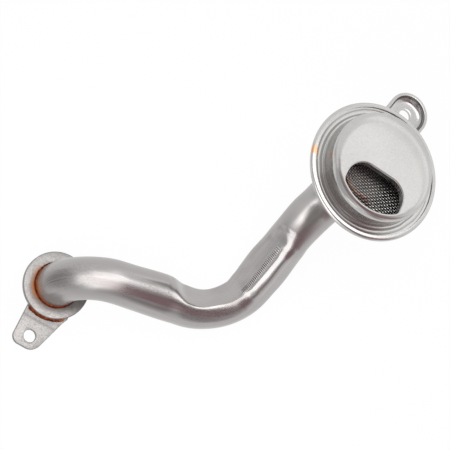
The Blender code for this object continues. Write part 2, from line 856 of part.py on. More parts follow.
def set_down(root, collection):
    """Moves the whole part so that its lowest point is on the floor, with its box about the origin."""
    bpy.context.view_layer.update()
    graph = bpy.context.evaluated_depsgraph_get()
    low = Vector((1e9, 1e9, 1e9))
    high = -low
    for piece in collection.objects:
        evaluated = piece.evaluated_get(graph)
        mesh = evaluated.to_mesh()
        for vert in mesh.vertices:
            place = evaluated.matrix_world @ vert.co
            low = Vector(map(min, low, place))
            high = Vector(map(max, high, place))
        evaluated.to_mesh_clear()
    root.location = (-(low.x + high.x) / 2, -(low.y + high.y) / 2, -low.z)


def main():
    clear_scene()
    collection = new_collection("oil_pickup_tube")
    cutters = new_collection("cutters")
    root = bpy.data.objects.new("lying_part", None)
    bpy.context.scene.collection.objects.link(root)
    collar_seat = leaning_seat("collar_seat", (0, 0, 0), ear_heading, root)
    rim = (strainer_across, strainer_along, strainer_above)
    strainer_seat = leaning_seat("strainer_seat", rim, strainer_heading, root)

    satin_steel = finish("satin_steel", (0.48, 0.47, 0.45), 0.32, 1.0)
    bright_steel = finish("pressed_steel", (0.62, 0.61, 0.59), 0.28, 1.0)
    matte_steel = finish("matte_steel", (0.5, 0.5, 0.49), 0.5, 1.0)
    copper = finish("copper_braze", (0.28, 0.09, 0.035), 0.42, 1.0)
    rubber = finish("black_rubber", (0.02, 0.02, 0.02), 0.6, 0.0)
    wire = finish("screen_wire", (0.4, 0.4, 0.39), 0.4, 1.0)

    make_tube(root, satin_steel, collection)
    groove = make_collar(collar_seat, matte_steel, collection)
    make_o_ring(groove, collar_seat, rubber, collection)
    make_ear(collar_seat, matte_steel, collection, cutters)
    joint = tube_radius + seat_gap
    make_fillet_ring("collar_braze_ring", joint, seat_gap, collar_seat, copper, collection)
    make_ear_seam(collar_seat, copper, collection)
    make_shell(strainer_seat, bright_steel, collection)
    make_cover(strainer_seat, bright_steel, collection)
    make_screen(strainer_seat, wire, collection)
    floor = -shell_depth + shell_sheet / 2 + seat_gap
    make_fillet_ring("neck_braze_ring", joint, floor, strainer_seat, copper, collection)
    make_bracket(strainer_seat, bright_steel, collection, cutters)
    make_bracket_braze(strainer_seat, copper, collection)
    set_down(root, collection)


main()
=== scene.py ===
# Looks of a bent steel oil pickup tube with a round strainer, lying as it comes to rest.
# Sizes are in millimetres, colours are sRGB hex values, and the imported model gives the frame.

import math

import bmesh
import bpy
import numpy as np
from mathutils import Matrix, Vector, noise


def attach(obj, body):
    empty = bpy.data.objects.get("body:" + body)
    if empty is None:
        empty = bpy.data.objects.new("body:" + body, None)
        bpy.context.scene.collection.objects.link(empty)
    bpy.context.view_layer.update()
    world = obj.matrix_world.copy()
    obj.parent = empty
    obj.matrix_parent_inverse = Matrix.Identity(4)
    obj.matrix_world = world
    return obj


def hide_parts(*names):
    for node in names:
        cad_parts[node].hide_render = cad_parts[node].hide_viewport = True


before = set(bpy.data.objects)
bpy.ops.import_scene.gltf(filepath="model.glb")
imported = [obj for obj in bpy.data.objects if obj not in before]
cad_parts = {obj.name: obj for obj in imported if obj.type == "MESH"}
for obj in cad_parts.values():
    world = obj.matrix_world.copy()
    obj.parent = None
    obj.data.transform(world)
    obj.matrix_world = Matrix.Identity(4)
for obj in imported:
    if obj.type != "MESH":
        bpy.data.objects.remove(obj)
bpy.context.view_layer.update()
print("loaded the packed frame")

# Where the two ends of the part lie, and how far their common axis leans
lie = {
    "lean": 26.8,
    "heading": 27.4,
    "collarFace": (-84.080, -33.114, 18.599),
    "strainerRim": (73.120, 23.286, 47.999),
    "earHeading": -145.6,
    "strainerHeading": 20.1,
    "gap": 0.3,
}

cameraView = {
    "place": (0.86, -2.72, 712.3),
    "focalPixels": 1372.0,
    "imagePixels": 450.0,
    "sensor": 36.0,
}


def toMetres(value):
    return value / 1000


def leaningTurn(turn):
    heading = Matrix.Rotation(math.radians(lie["heading"]), 3, "Z")
    tilt = Matrix.Rotation(math.radians(lie["lean"]), 3, "Y")
    return heading @ tilt @ Matrix.Rotation(math.radians(turn), 3, "Z")


# Points of a piece drawn about its own Z axis, moved to their place on the part.
def setInto(points, place, turn):
    return np.asarray(points, float) @ np.array(leaningTurn(turn)).T + np.array(place)


# An sRGB hex value as the linear colour that nodes take.
def hexColour(text):
    channels = [int(text[k:k + 2], 16) / 255 for k in (1, 3, 5)]
    linear = [c / 12.92 if c <= 0.04045 else ((c + 0.055) / 1.055) ** 2.4 for c in channels]
    return (*linear, 1.0)


# Adds a node with its settings, and its inputs as values or as sockets to link from
def addNode(tree, kind, settings=None, inputs=None, output=0):
    made = tree.nodes.new(kind)
    for key, value in (settings or {}).items():
        setattr(made, key, value)
    for socket, value in (inputs or {}).items():
        if isinstance(value, bpy.types.NodeSocket):
            tree.links.new(value, made.inputs[socket])
        else:
            made.inputs[socket].default_value = value
    return made.outputs[output]


# An object from points in millimetres, riding on the part and standing for a CAD node.
def pieceFrom(name, points, faces, look, node, sharp=35, sleeve=None, around=None):
    mesh = bpy.data.meshes.new(name)
    mesh.from_pydata((np.asarray(points) / 1000).tolist(), [], [list(f) for f in faces])
    mesh.validate()
    if sleeve is not None:
        layer = mesh.attributes.new("sleeve", "FLOAT_VECTOR", "POINT")
        layer.data.foreach_set("vector", np.asarray(sleeve, np.float32).ravel())
        layer = mesh.attributes.new("around", "FLOAT", "POINT")
        layer.data.foreach_set("value", np.asarray(around, np.float32).ravel())
    made = bpy.data.objects.new(name, mesh)
    bpy.context.scene.collection.objects.link(made)
    finishPiece(made, look, node, sharp)
    return made


def finishPiece(made, look, node, sharp=35):
    made.data.materials.clear()
    made.data.materials.append(look)
    made.data.shade_smooth()
    made.data.set_sharp_from_angle(angle=math.radians(sharp))
    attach(made, "root")
    if node:
        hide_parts(node)


def gridFaces(rows, columns, closedRows, closedColumns):
    faces = []
    for i in range(rows if closedRows else rows - 1):
        for j in range(columns if closedColumns else columns - 1):
            a, b = i * columns + j, i * columns + (j + 1) % columns
            c, d = (i + 1) % rows * columns + (j + 1) % columns, (i + 1) % rows * columns + j
            faces.append((a, b, c, d))
    return faces


def applyModifiers(made):
    graph = bpy.context.evaluated_depsgraph_get()
    mesh = bpy.data.meshes.new_from_object(made.evaluated_get(graph))
    made.modifiers.clear()
    made.data = mesh


# A closed profile of (radius, height, rounding) corners with each corner rounded.
def roundedProfile(points, pieces=5):
    rounded = []
    count = len(points)
    for k, (radius, height, bend) in enumerate(points):
        corner = Vector((radius, height))
        if bend == 0:
            rounded.append(corner)
            continue
        back = (Vector(points[k - 1][:2]) - corner).normalized()
        on = (Vector(points[(k + 1) % count][:2]) - corner).normalized()
        half = back.angle(on) / 2
        start, end = corner + back * bend / math.tan(half), corner + on * bend / math.tan(half)
        middle = corner + (back + on).normalized() * bend / math.sin(half)
        for step in range(pieces + 1):
            spoke = (start - middle).lerp(end - middle, step / pieces)
            rounded.append(middle + spoke.normalized() * bend)
    return [(p.x, p.y) for p in rounded]


# Rings of a profile turned about Z, in the order of the profile's points.
def turnedPoints(profile, segments):
    angles = np.linspace(0, math.tau, segments, endpoint=False)
    rings = []
    for angle in angles:
        rings.append([(r * math.cos(angle), r * math.sin(angle), z) for r, z in profile])
    return np.array(rings).reshape(-1, 3), gridFaces(segments, len(profile), True, True)


def turnedPiece(name, profile, segments, place, turn, look, node, sharp=35):
    points, faces = turnedPoints(profile, segments)
    return pieceFrom(name, setInto(points, place, turn), faces, look, node, sharp)


# Points along straight legs joined by round bends.
def roundedRoute(corners, bends, step):
    route = [corners[0]]
    for before, corner, after, bend in zip(corners, corners[1:], corners[2:], bends):
        back = (before - corner).normalized()
        on = (after - corner).normalized()
        halfTurn = (math.pi - back.angle(on)) / 2
        middle = corner + (back + on).normalized() * bend / math.cos(halfTurn)
        start = corner + back * bend * math.tan(halfTurn) - middle
        end = corner + on * bend * math.tan(halfTurn) - middle
        pieces = max(2, round(2 * halfTurn * bend / step))
        for k in range(pieces + 1):
            turned = 2 * halfTurn * k / pieces
            spoke = start * math.sin(2 * halfTurn - turned) + end * math.sin(turned)
            route.append(middle + spoke / math.sin(2 * halfTurn))
    route.append(corners[-1])
    return [p for k, p in enumerate(route) if k == 0 or (p - route[k - 1]).length > 0.01]


def evenlySpaced(route, spacing):
    distances = [0.0]
    for start, end in zip(route, route[1:]):
        distances.append(distances[-1] + (end - start).length)
    count = round(distances[-1] / spacing)
    places = [distances[-1] * k / count for k in range(count + 1)]
    points = []
    leg = 0
    for place in places:
        while leg < len(route) - 2 and distances[leg + 1] < place:
            leg += 1
        share = (place - distances[leg]) / (distances[leg + 1] - distances[leg])
        points.append(route[leg].lerp(route[leg + 1], share))
    return points, places


def arcPoints(middle, radius, start, end, pieces):
    points = []
    for k in range(pieces + 1):
        angle = math.radians(start + (end - start) * k / pieces)
        points.append((middle[0] + radius * math.cos(angle), middle[1] + radius * math.sin(angle)))
    return points


# Materials

def newMaterial(name):
    made = bpy.data.materials.new(name)
    made.use_nodes = True
    return made, made.node_tree, made.node_tree.nodes["Principled BSDF"]


# 1 between two places along a value, with soft ends
def between(tree, value, low, high, ease):
    rising = addNode(tree, "ShaderNodeMapRange", {"interpolation_type": "SMOOTHSTEP"},
                     {0: value, 1: low - ease, 2: low + ease})
    falling = addNode(tree, "ShaderNodeMapRange", {"interpolation_type": "SMOOTHSTEP"},
                      {0: value, 1: high - ease, 2: high + ease, 3: 1.0, 4: 0.0})
    return addNode(tree, "ShaderNodeMath", {"operation": "MULTIPLY"}, {0: rising, 1: falling})


# Drawn steel tube: satin from the die, so it gives long soft highlights with faint lines along it,
# and it is speckled where the bending tool pressed the outer skin
tubeLook = {
    "steel": "#b3b0af",
    "dull": "#8d8987",
    "grainAcross": 1.6,       # lines per mm round the tube, drawn coarser than the real 4 per mm
    "grainAlong": 0.035,
    "grainShare": 0.22,
    "cloudScale": 0.055,
    "cloudShare": 0.22,
    "speckScale": 1.7,        # specks per mm, drawn coarser than the real ones so that they show
    "speck": "#6b6462",
    "elbowZone": (12.0, 36.0),
    "elbowAround": (-20.0, 46.0),
    # a painted dark reflection on the elbow's top
    "elbowPaintedReflection": "#5d5856",
    "elbowReflectionZone": (16.0, 26.0),
    "elbowReflectionAround": (-4.0, 26.0),
    "topZone": (52.0, 76.0),
    "topAround": (8.0, 26.0),
    "bellyZone": (80.0, 118.0),
    "bellyAround": (-34.0, 6.0),
    "knurlZone": (119.0, 150.0),
    "knurlAround": (4.0, 20.0),
    "knurlPitch": 1.0,        # mm, from a real 0.8 that would not show
    "heat": "#6d4436",
    "heatEnds": (20.0, 7.0),
    "roughness": (0.17, 0.24),
    "speckRoughness": 0.14,
    "elbowRoughness": 0.11,   # the bending tool left the elbow duller
    "elbowRoughEnds": (38.0, 62.0),
    "brazedRoughness": 0.13,  # and the heat of the strainer's braze dulled the other end
    "brazedRoughEnds": (150.0, 163.0),
    "bump": 0.005,
    "knurlBump": 0.10,
}


def drawnSteel():
    made, tree, shader = newMaterial("drawnSteelTube")
    look = tubeLook
    sleeve = addNode(tree, "ShaderNodeAttribute", {"attribute_name": "sleeve"}, output="Vector")
    around = addNode(tree, "ShaderNodeAttribute", {"attribute_name": "around"}, output="Fac")
    along = addNode(tree, "ShaderNodeSeparateXYZ", None, {0: sleeve}, "Z")
    stretch = (look["grainAcross"], look["grainAcross"], look["grainAlong"])
    drawn = addNode(tree, "ShaderNodeVectorMath", {"operation": "MULTIPLY"},
                    {0: sleeve, 1: stretch})
    grain = addNode(tree, "ShaderNodeTexNoise", None,
                    {"Vector": drawn, "Scale": 1.0, "Detail": 4.0, "Roughness": 0.6})
    clouds = addNode(tree, "ShaderNodeTexNoise", None,
                     {"Vector": sleeve, "Scale": look["cloudScale"], "Detail": 3.0})
    specks = addNode(tree, "ShaderNodeTexNoise", None,
                     {"Vector": sleeve, "Scale": look["speckScale"], "Detail": 2.0,
                      "Roughness": 0.7})
    # steel, its faint drawn lines and dull clouds
    lineShare = addNode(tree, "ShaderNodeMapRange", None,
                        {0: grain, 1: 0.3, 2: 0.7, 3: 0.0, 4: look["grainShare"]})
    cloudShare = addNode(tree, "ShaderNodeMapRange", None,
                         {0: clouds, 1: 0.3, 2: 0.7, 3: 0.0, 4: look["cloudShare"]})
    dullShare = addNode(tree, "ShaderNodeMath", {"operation": "ADD"},
                        {0: lineShare, 1: cloudShare})
    colour = addNode(tree, "ShaderNodeMix", {"data_type": "RGBA"},
                     {0: dullShare, 6: hexColour(look["steel"]), 7: hexColour(look["dull"])}, 2)
    # specks over the elbow's top, the top of the run and the outer side of the belly
    dots = addNode(tree, "ShaderNodeMapRange", {"interpolation_type": "SMOOTHSTEP"},
                   {0: specks, 1: 0.47, 2: 0.6})
    worn = None
    for zone, side, strength in (("elbowZone", "elbowAround", 0.26), ("topZone", "topAround", 0.5),
                                 ("bellyZone", "bellyAround", 0.35)):
        length = between(tree, along, *look[zone], 6.0)
        width = between(tree, around, *look[side], 9.0)
        area = addNode(tree, "ShaderNodeMath", {"operation": "MULTIPLY"}, {0: length, 1: width})
        share = addNode(tree, "ShaderNodeMath", {"operation": "MULTIPLY"}, {0: area, 1: strength})
        worn = share if worn is None else addNode(tree, "ShaderNodeMath", {"operation": "ADD"},
                                                  {0: worn, 1: share})
    speckShare = addNode(tree, "ShaderNodeMath", {"operation": "MULTIPLY"}, {0: worn, 1: dots})
    # a soft dark patch on the elbow's top, a painted dark reflection
    elbowPaintedReflection = addNode(tree, "ShaderNodeMath", {"operation": "MULTIPLY"},
                     {0: between(tree, along, *look["elbowReflectionZone"], 5.0),
                      1: between(tree, around, *look["elbowReflectionAround"], 14.0)})
    elbowReflectionGrain = addNode(tree, "ShaderNodeMapRange", None, {0: grain, 1: 0.35, 2: 0.65, 3: 0.45, 4: 1.0})
    elbowPaintedReflection = addNode(tree, "ShaderNodeMath", {"operation": "MULTIPLY"}, {0: elbowPaintedReflection, 1: elbowReflectionGrain})
    colour = addNode(tree, "ShaderNodeMix", {"data_type": "RGBA"},
                     {0: elbowPaintedReflection, 6: colour, 7: hexColour(look["elbowPaintedReflection"])}, 2)
    colour = addNode(tree, "ShaderNodeMix", {"data_type": "RGBA"},
                     {0: speckShare, 6: colour, 7: hexColour(look["speck"])}, 2)
    # heat tint beside the collar's braze
    heat = addNode(tree, "ShaderNodeMapRange", {"interpolation_type": "SMOOTHSTEP"},
                   {0: along, 1: look["heatEnds"][1], 2: look["heatEnds"][0], 3: 1.0, 4: 0.0})
    patches = addNode(tree, "ShaderNodeMapRange", None, {0: clouds, 1: 0.3, 2: 0.7, 3: 0.1, 4: 0.7})
    heatShare = addNode(tree, "ShaderNodeMath", {"operation": "MULTIPLY"}, {0: heat, 1: patches})
    colour = addNode(tree, "ShaderNodeMix", {"data_type": "RGBA"},
                     {0: heatShare, 6: colour, 7: hexColour(look["heat"])}, 2)
    tree.links.new(colour, shader.inputs["Base Color"])
    low, high = look["roughness"]
    rough = addNode(tree, "ShaderNodeMapRange", None, {0: grain, 1: 0.3, 2: 0.7, 3: low, 4: high})
    wornRough = addNode(tree, "ShaderNodeMath", {"operation": "MULTIPLY"},
                        {0: worn, 1: look["speckRoughness"]})
    rough = addNode(tree, "ShaderNodeMath", {"operation": "ADD"}, {0: rough, 1: wornRough})
    low, high = look["elbowRoughEnds"]
    elbow = addNode(tree, "ShaderNodeMapRange", {"interpolation_type": "SMOOTHSTEP"},
                    {0: along, 1: low, 2: high, 3: look["elbowRoughness"], 4: 0.0})
    rough = addNode(tree, "ShaderNodeMath", {"operation": "ADD"}, {0: rough, 1: elbow})
    low, high = look["brazedRoughEnds"]
    brazed = addNode(tree, "ShaderNodeMapRange", {"interpolation_type": "SMOOTHSTEP"},
                     {0: along, 1: low, 2: high, 3: 0.0, 4: look["brazedRoughness"]})
    rough = addNode(tree, "ShaderNodeMath", {"operation": "ADD"}, {0: rough, 1: brazed})
    tree.links.new(rough, shader.inputs["Roughness"])
    shader.inputs["Metallic"].default_value = 1.0
    # tool marks across the rise, then the grain and specks over all
    marks = addNode(tree, "ShaderNodeMath", {"operation": "PINGPONG"},
                    {0: along, 1: look["knurlPitch"] / 2})
    marked = addNode(tree, "ShaderNodeMath", {"operation": "MULTIPLY"},
                     {0: between(tree, along, *look["knurlZone"], 2.0),
                      1: between(tree, around, *look["knurlAround"], 3.0)})
    marks = addNode(tree, "ShaderNodeMath", {"operation": "MULTIPLY"}, {0: marks, 1: marked})
    knurl = addNode(tree, "ShaderNodeBump", None,
                    {"Height": marks, "Distance": toMetres(look["knurlBump"] * 8)}, 0)
    wornDots = addNode(tree, "ShaderNodeMath", {"operation": "MULTIPLY"}, {0: speckShare, 1: -3.0})
    height = addNode(tree, "ShaderNodeMath", {"operation": "ADD"}, {0: grain, 1: wornDots})
    dents = addNode(tree, "ShaderNodeBump", None,
                    {"Height": height, "Distance": toMetres(look["bump"]), "Normal": knurl})
    tree.links.new(dents, shader.inputs["Normal"])
    return made


# Collar and ear: blanked mild steel plate, tumbled, so it is matte and even with a fine grain
plateLook = {
    "collar": "#a09e9c",
    # the ear is the collar's steel painted darker, as shade
    "ear": "#939190",
    "dull": "#767472",
    "cloudScale": 0.12,
    "cloudShare": 0.35,
    "gritScale": 1.3,         # per mm, coarser than the real tumbled grain
    "gritShare": 0.6,
    "roughness": (0.3, 0.42),
    "bump": 0.02,
}
# Thin orange stain that the braze left on the collar's face, on its outer left side
stainLook = {"colour": "#c4823f", "inner": 12.0, "outer": 14.6, "most": 0.8,
             "fadeFrom": -6.0, "fadeTo": -12.5}


def tumbledSteel(name, steel, stained):
    made, tree, shader = newMaterial(name)
    look = plateLook
    place = addNode(tree, "ShaderNodeTexCoord", output="Object")
    place = addNode(tree, "ShaderNodeVectorMath", {"operation": "MULTIPLY"},
                    {0: place, 1: (1000, 1000, 1000)})  # to millimetres
    clouds = addNode(tree, "ShaderNodeTexNoise", None,
                     {"Vector": place, "Scale": look["cloudScale"], "Detail": 4.0})
    fine = addNode(tree, "ShaderNodeTexNoise", None,
                   {"Vector": place, "Scale": look["gritScale"], "Detail": 3.0, "Roughness": 0.7})
    cloudShare = addNode(tree, "ShaderNodeMapRange", None,
                         {0: clouds, 1: 0.3, 2: 0.7, 3: 0.0, 4: look["cloudShare"]})
    gritShare = addNode(tree, "ShaderNodeMapRange", None,
                        {0: fine, 1: 0.3, 2: 0.7, 3: 0.0, 4: look["gritShare"]})
    share = addNode(tree, "ShaderNodeMath", {"operation": "ADD"}, {0: cloudShare, 1: gritShare})
    colour = addNode(tree, "ShaderNodeMix", {"data_type": "RGBA"},
                     {0: share, 6: hexColour(steel), 7: hexColour(look["dull"])}, 2)
    if stained:
        colour = stainRound(tree, place, colour, clouds)
    tree.links.new(colour, shader.inputs["Base Color"])
    low, high = look["roughness"]
    rough = addNode(tree, "ShaderNodeMapRange", None, {0: fine, 1: 0.3, 2: 0.7, 3: low, 4: high})
    tree.links.new(rough, shader.inputs["Roughness"])
    shader.inputs["Metallic"].default_value = 1.0
    dents = addNode(tree, "ShaderNodeBump", None,
                    {"Height": fine, "Distance": toMetres(look["bump"])})
    tree.links.new(dents, shader.inputs["Normal"])
    return made


def stainRound(tree, place, colour, clouds):
    reach = addNode(tree, "ShaderNodeVectorMath", {"operation": "SUBTRACT"},
                    {0: place, 1: lie["collarFace"]})
    axis = tuple(leaningTurn(0) @ Vector((0, 0, 1)))
    high = addNode(tree, "ShaderNodeVectorMath", {"operation": "DOT_PRODUCT"},
                   {0: reach, 1: axis}, "Value")
    rise = addNode(tree, "ShaderNodeVectorMath", {"operation": "SCALE"}, {0: axis, "Scale": high})
    flat = addNode(tree, "ShaderNodeVectorMath", {"operation": "SUBTRACT"}, {0: reach, 1: rise})
    radius = addNode(tree, "ShaderNodeVectorMath", {"operation": "LENGTH"}, {0: flat}, "Value")
    near = addNode(tree, "ShaderNodeMapRange", {"interpolation_type": "SMOOTHSTEP"},
                   {0: radius, 1: stainLook["inner"], 2: stainLook["outer"],
                    3: stainLook["most"], 4: 0.0})
    side = addNode(tree, "ShaderNodeSeparateXYZ", None, {0: reach}, "X")
    left = addNode(tree, "ShaderNodeMapRange", {"interpolation_type": "SMOOTHSTEP"},
                   {0: side, 1: stainLook["fadeTo"], 2: stainLook["fadeFrom"], 3: 1.0, 4: 0.0})
    uneven = addNode(tree, "ShaderNodeMapRange", None, {0: clouds, 1: 0.35, 2: 0.65, 3: 0.3, 4: 1.0})
    share = addNode(tree, "ShaderNodeMath", {"operation": "MULTIPLY"}, {0: near, 1: left})
    share = addNode(tree, "ShaderNodeMath", {"operation": "MULTIPLY"}, {0: share, 1: uneven})
    return addNode(tree, "ShaderNodeMix", {"data_type": "RGBA"},
                   {0: share, 6: colour, 7: hexColour(stainLook["colour"])}, 2)


# Strainer: bright cold-rolled sheet, deep drawn, so it is satin with a fine even sparkle
sheetLook = {
    "strainer": "#cac9c7",
    "bracket": "#c2c0bf",
    "inside": "#34302e",      # the shell's inner side, painted dark as shade
    "dull": "#8f8d8b",
    "cloudScale": 0.06,
    "cloudShare": 0.12,
    "gritScale": 1.1,         # per mm, coarser than the real sheet's grain so that it shows
    "gritShare": 0.12,
    "lineShare": 0.05,
    "roughness": (0.2, 0.23),
    "insideRoughness": 0.55,
    "bump": 0.0012,
}
# A dab of orange marking paint on the strainer's rim
dabLook = {"place": (43.4, 33.0, 59.2), "radius": 2.4, "ragged": 0.5, "soft": 0.8,
           "colour": "#eaa868", "share": 0.66}


def drawnSheet(name, steel, dabbed):
    made, tree, shader = newMaterial(name)
    look = sheetLook
    place = addNode(tree, "ShaderNodeTexCoord", output="Object")
    place = addNode(tree, "ShaderNodeVectorMath", {"operation": "MULTIPLY"},
                    {0: place, 1: (1000, 1000, 1000)})  # to millimetres
    clouds = addNode(tree, "ShaderNodeTexNoise", None,
                     {"Vector": place, "Scale": look["cloudScale"], "Detail": 3.0})
    fine = addNode(tree, "ShaderNodeTexNoise", None,
                   {"Vector": place, "Scale": look["gritScale"], "Detail": 3.0, "Roughness": 0.75})
    rolled = addNode(tree, "ShaderNodeVectorMath", {"operation": "MULTIPLY"},
                     {0: place, 1: (0.12, 1.7, 1.7)})
    lines = addNode(tree, "ShaderNodeTexNoise", None, {"Vector": rolled, "Scale": 1.0, "Detail": 3.0})
    share = addNode(tree, "ShaderNodeMapRange", None,
                    {0: clouds, 1: 0.3, 2: 0.7, 3: 0.0, 4: look["cloudShare"]})
    for pattern, most in ((fine, look["gritShare"]), (lines, look["lineShare"])):
        more = addNode(tree, "ShaderNodeMapRange", None, {0: pattern, 1: 0.35, 2: 0.65, 3: 0.0, 4: most})
        share = addNode(tree, "ShaderNodeMath", {"operation": "ADD"}, {0: share, 1: more})
    colour = addNode(tree, "ShaderNodeMix", {"data_type": "RGBA"},
                     {0: share, 6: hexColour(steel), 7: hexColour(look["dull"])}, 2)
    if dabbed:
        reach = addNode(tree, "ShaderNodeVectorMath", {"operation": "DISTANCE"},
                        {0: place, 1: dabLook["place"]}, "Value")
        wander = addNode(tree, "ShaderNodeTexNoise", None,
                         {"Vector": place, "Scale": 0.5, "Detail": 3.0})
        wander = addNode(tree, "ShaderNodeMapRange", None,
                         {0: wander, 1: 0.3, 2: 0.7, 3: -dabLook["ragged"], 4: dabLook["ragged"]})
        away = addNode(tree, "ShaderNodeMath", {"operation": "ADD"}, {0: reach, 1: wander})
        dab = addNode(tree, "ShaderNodeMapRange", {"interpolation_type": "SMOOTHSTEP"},
                      {0: away, 1: dabLook["radius"] - dabLook["soft"],
                       2: dabLook["radius"] + dabLook["soft"],
                       3: dabLook["share"], 4: 0.0})
        colour = addNode(tree, "ShaderNodeMix", {"data_type": "RGBA"},
                         {0: dab, 6: colour, 7: hexColour(dabLook["colour"])}, 2)
    tree.links.new(colour, shader.inputs["Base Color"])
    low, high = look["roughness"]
    rough = addNode(tree, "ShaderNodeMapRange", None, {0: fine, 1: 0.3, 2: 0.7, 3: low, 4: high})
    tree.links.new(rough, shader.inputs["Roughness"])
    shader.inputs["Metallic"].default_value = 1.0
    dents = addNode(tree, "ShaderNodeBump", None,
                    {"Height": fine, "Distance": toMetres(look["bump"])})
    tree.links.new(dents, shader.inputs["Normal"])
    return made


# The same sheet inside the strainer, dull, and painted dark as shade in the hollow
def paintedShadeSheet():
    made, tree, shader = newMaterial("paintedShadeSheetSteel")
    place = addNode(tree, "ShaderNodeTexCoord", output="Object")
    shadeMottle = addNode(tree, "ShaderNodeTexNoise", None, {"Vector": place, "Scale": 90.0, "Detail": 3.0})
    share = addNode(tree, "ShaderNodeMapRange", None, {0: shadeMottle, 1: 0.3, 2: 0.7, 3: 0.0, 4: 0.5})
    colour = addNode(tree, "ShaderNodeMix", {"data_type": "RGBA"},
                     {0: share, 6: hexColour(sheetLook["inside"]), 7: hexColour("#211e1c")}, 2)
    tree.links.new(colour, shader.inputs["Base Color"])
    shader.inputs["Metallic"].default_value = 1.0
    shader.inputs["Roughness"].default_value = sheetLook["insideRoughness"]
    return made


# Copper braze, run in a furnace: satin, reddish, with darker oxide patches
brazeLook = {"copper": "#b0603a", "oxide": "#552a19", "patchScale": 0.6, "roughness": (0.3, 0.45),
             "bump": 0.05}


def copperBraze():
    made, tree, shader = newMaterial("copperBraze")
    place = addNode(tree, "ShaderNodeTexCoord", output="Object")
    place = addNode(tree, "ShaderNodeVectorMath", {"operation": "MULTIPLY"},
                    {0: place, 1: (1000, 1000, 1000)})  # to millimetres
    patches = addNode(tree, "ShaderNodeTexNoise", None,
                      {"Vector": place, "Scale": brazeLook["patchScale"], "Detail": 4.0})
    share = addNode(tree, "ShaderNodeMapRange", None, {0: patches, 1: 0.35, 2: 0.7})
    colour = addNode(tree, "ShaderNodeMix", {"data_type": "RGBA"},
                     {0: share, 6: hexColour(brazeLook["copper"]), 7: hexColour(brazeLook["oxide"])}, 2)
    tree.links.new(colour, shader.inputs["Base Color"])
    low, high = brazeLook["roughness"]
    rough = addNode(tree, "ShaderNodeMapRange", None, {0: patches, 1: 0.3, 2: 0.7, 3: low, 4: high})
    tree.links.new(rough, shader.inputs["Roughness"])
    shader.inputs["Metallic"].default_value = 1.0
    dents = addNode(tree, "ShaderNodeBump", None,
                    {"Height": patches, "Distance": toMetres(brazeLook["bump"])})
    tree.links.new(dents, shader.inputs["Normal"])
    return made


# Stainless wire of the woven screen: drawn bright; its crests keep that colour and its lower parts are
# painted dark as shade
# Heights are along the strainer's axis, from its rim to the middle of the weave and from there up
wireLook = {"steel": "#f4f3f0", "shade": "#b5b0ac", "cloudScale": 0.09, "roughness": 0.36,
            "valleyPaintedShade": "#171614", "middle": -1.45, "paintedCrestEnds": (0.0, 0.24)}
# A pale coppery ring painted on the wires as a highlight of the tube's brazed bore edge, and brown braze
# stain outside it, on the lower left; the middle is on the strainer's own axes
boreHighlightAndStain = {"middle": (-1.34, 0.98, -1.6), "radius": 13.35, "half": 0.42, "colour": "#ffd9c6",
              "stain": "#7d5644", "stainShare": 0.6, "fadeFrom": 68.5, "fadeTo": 71.5}


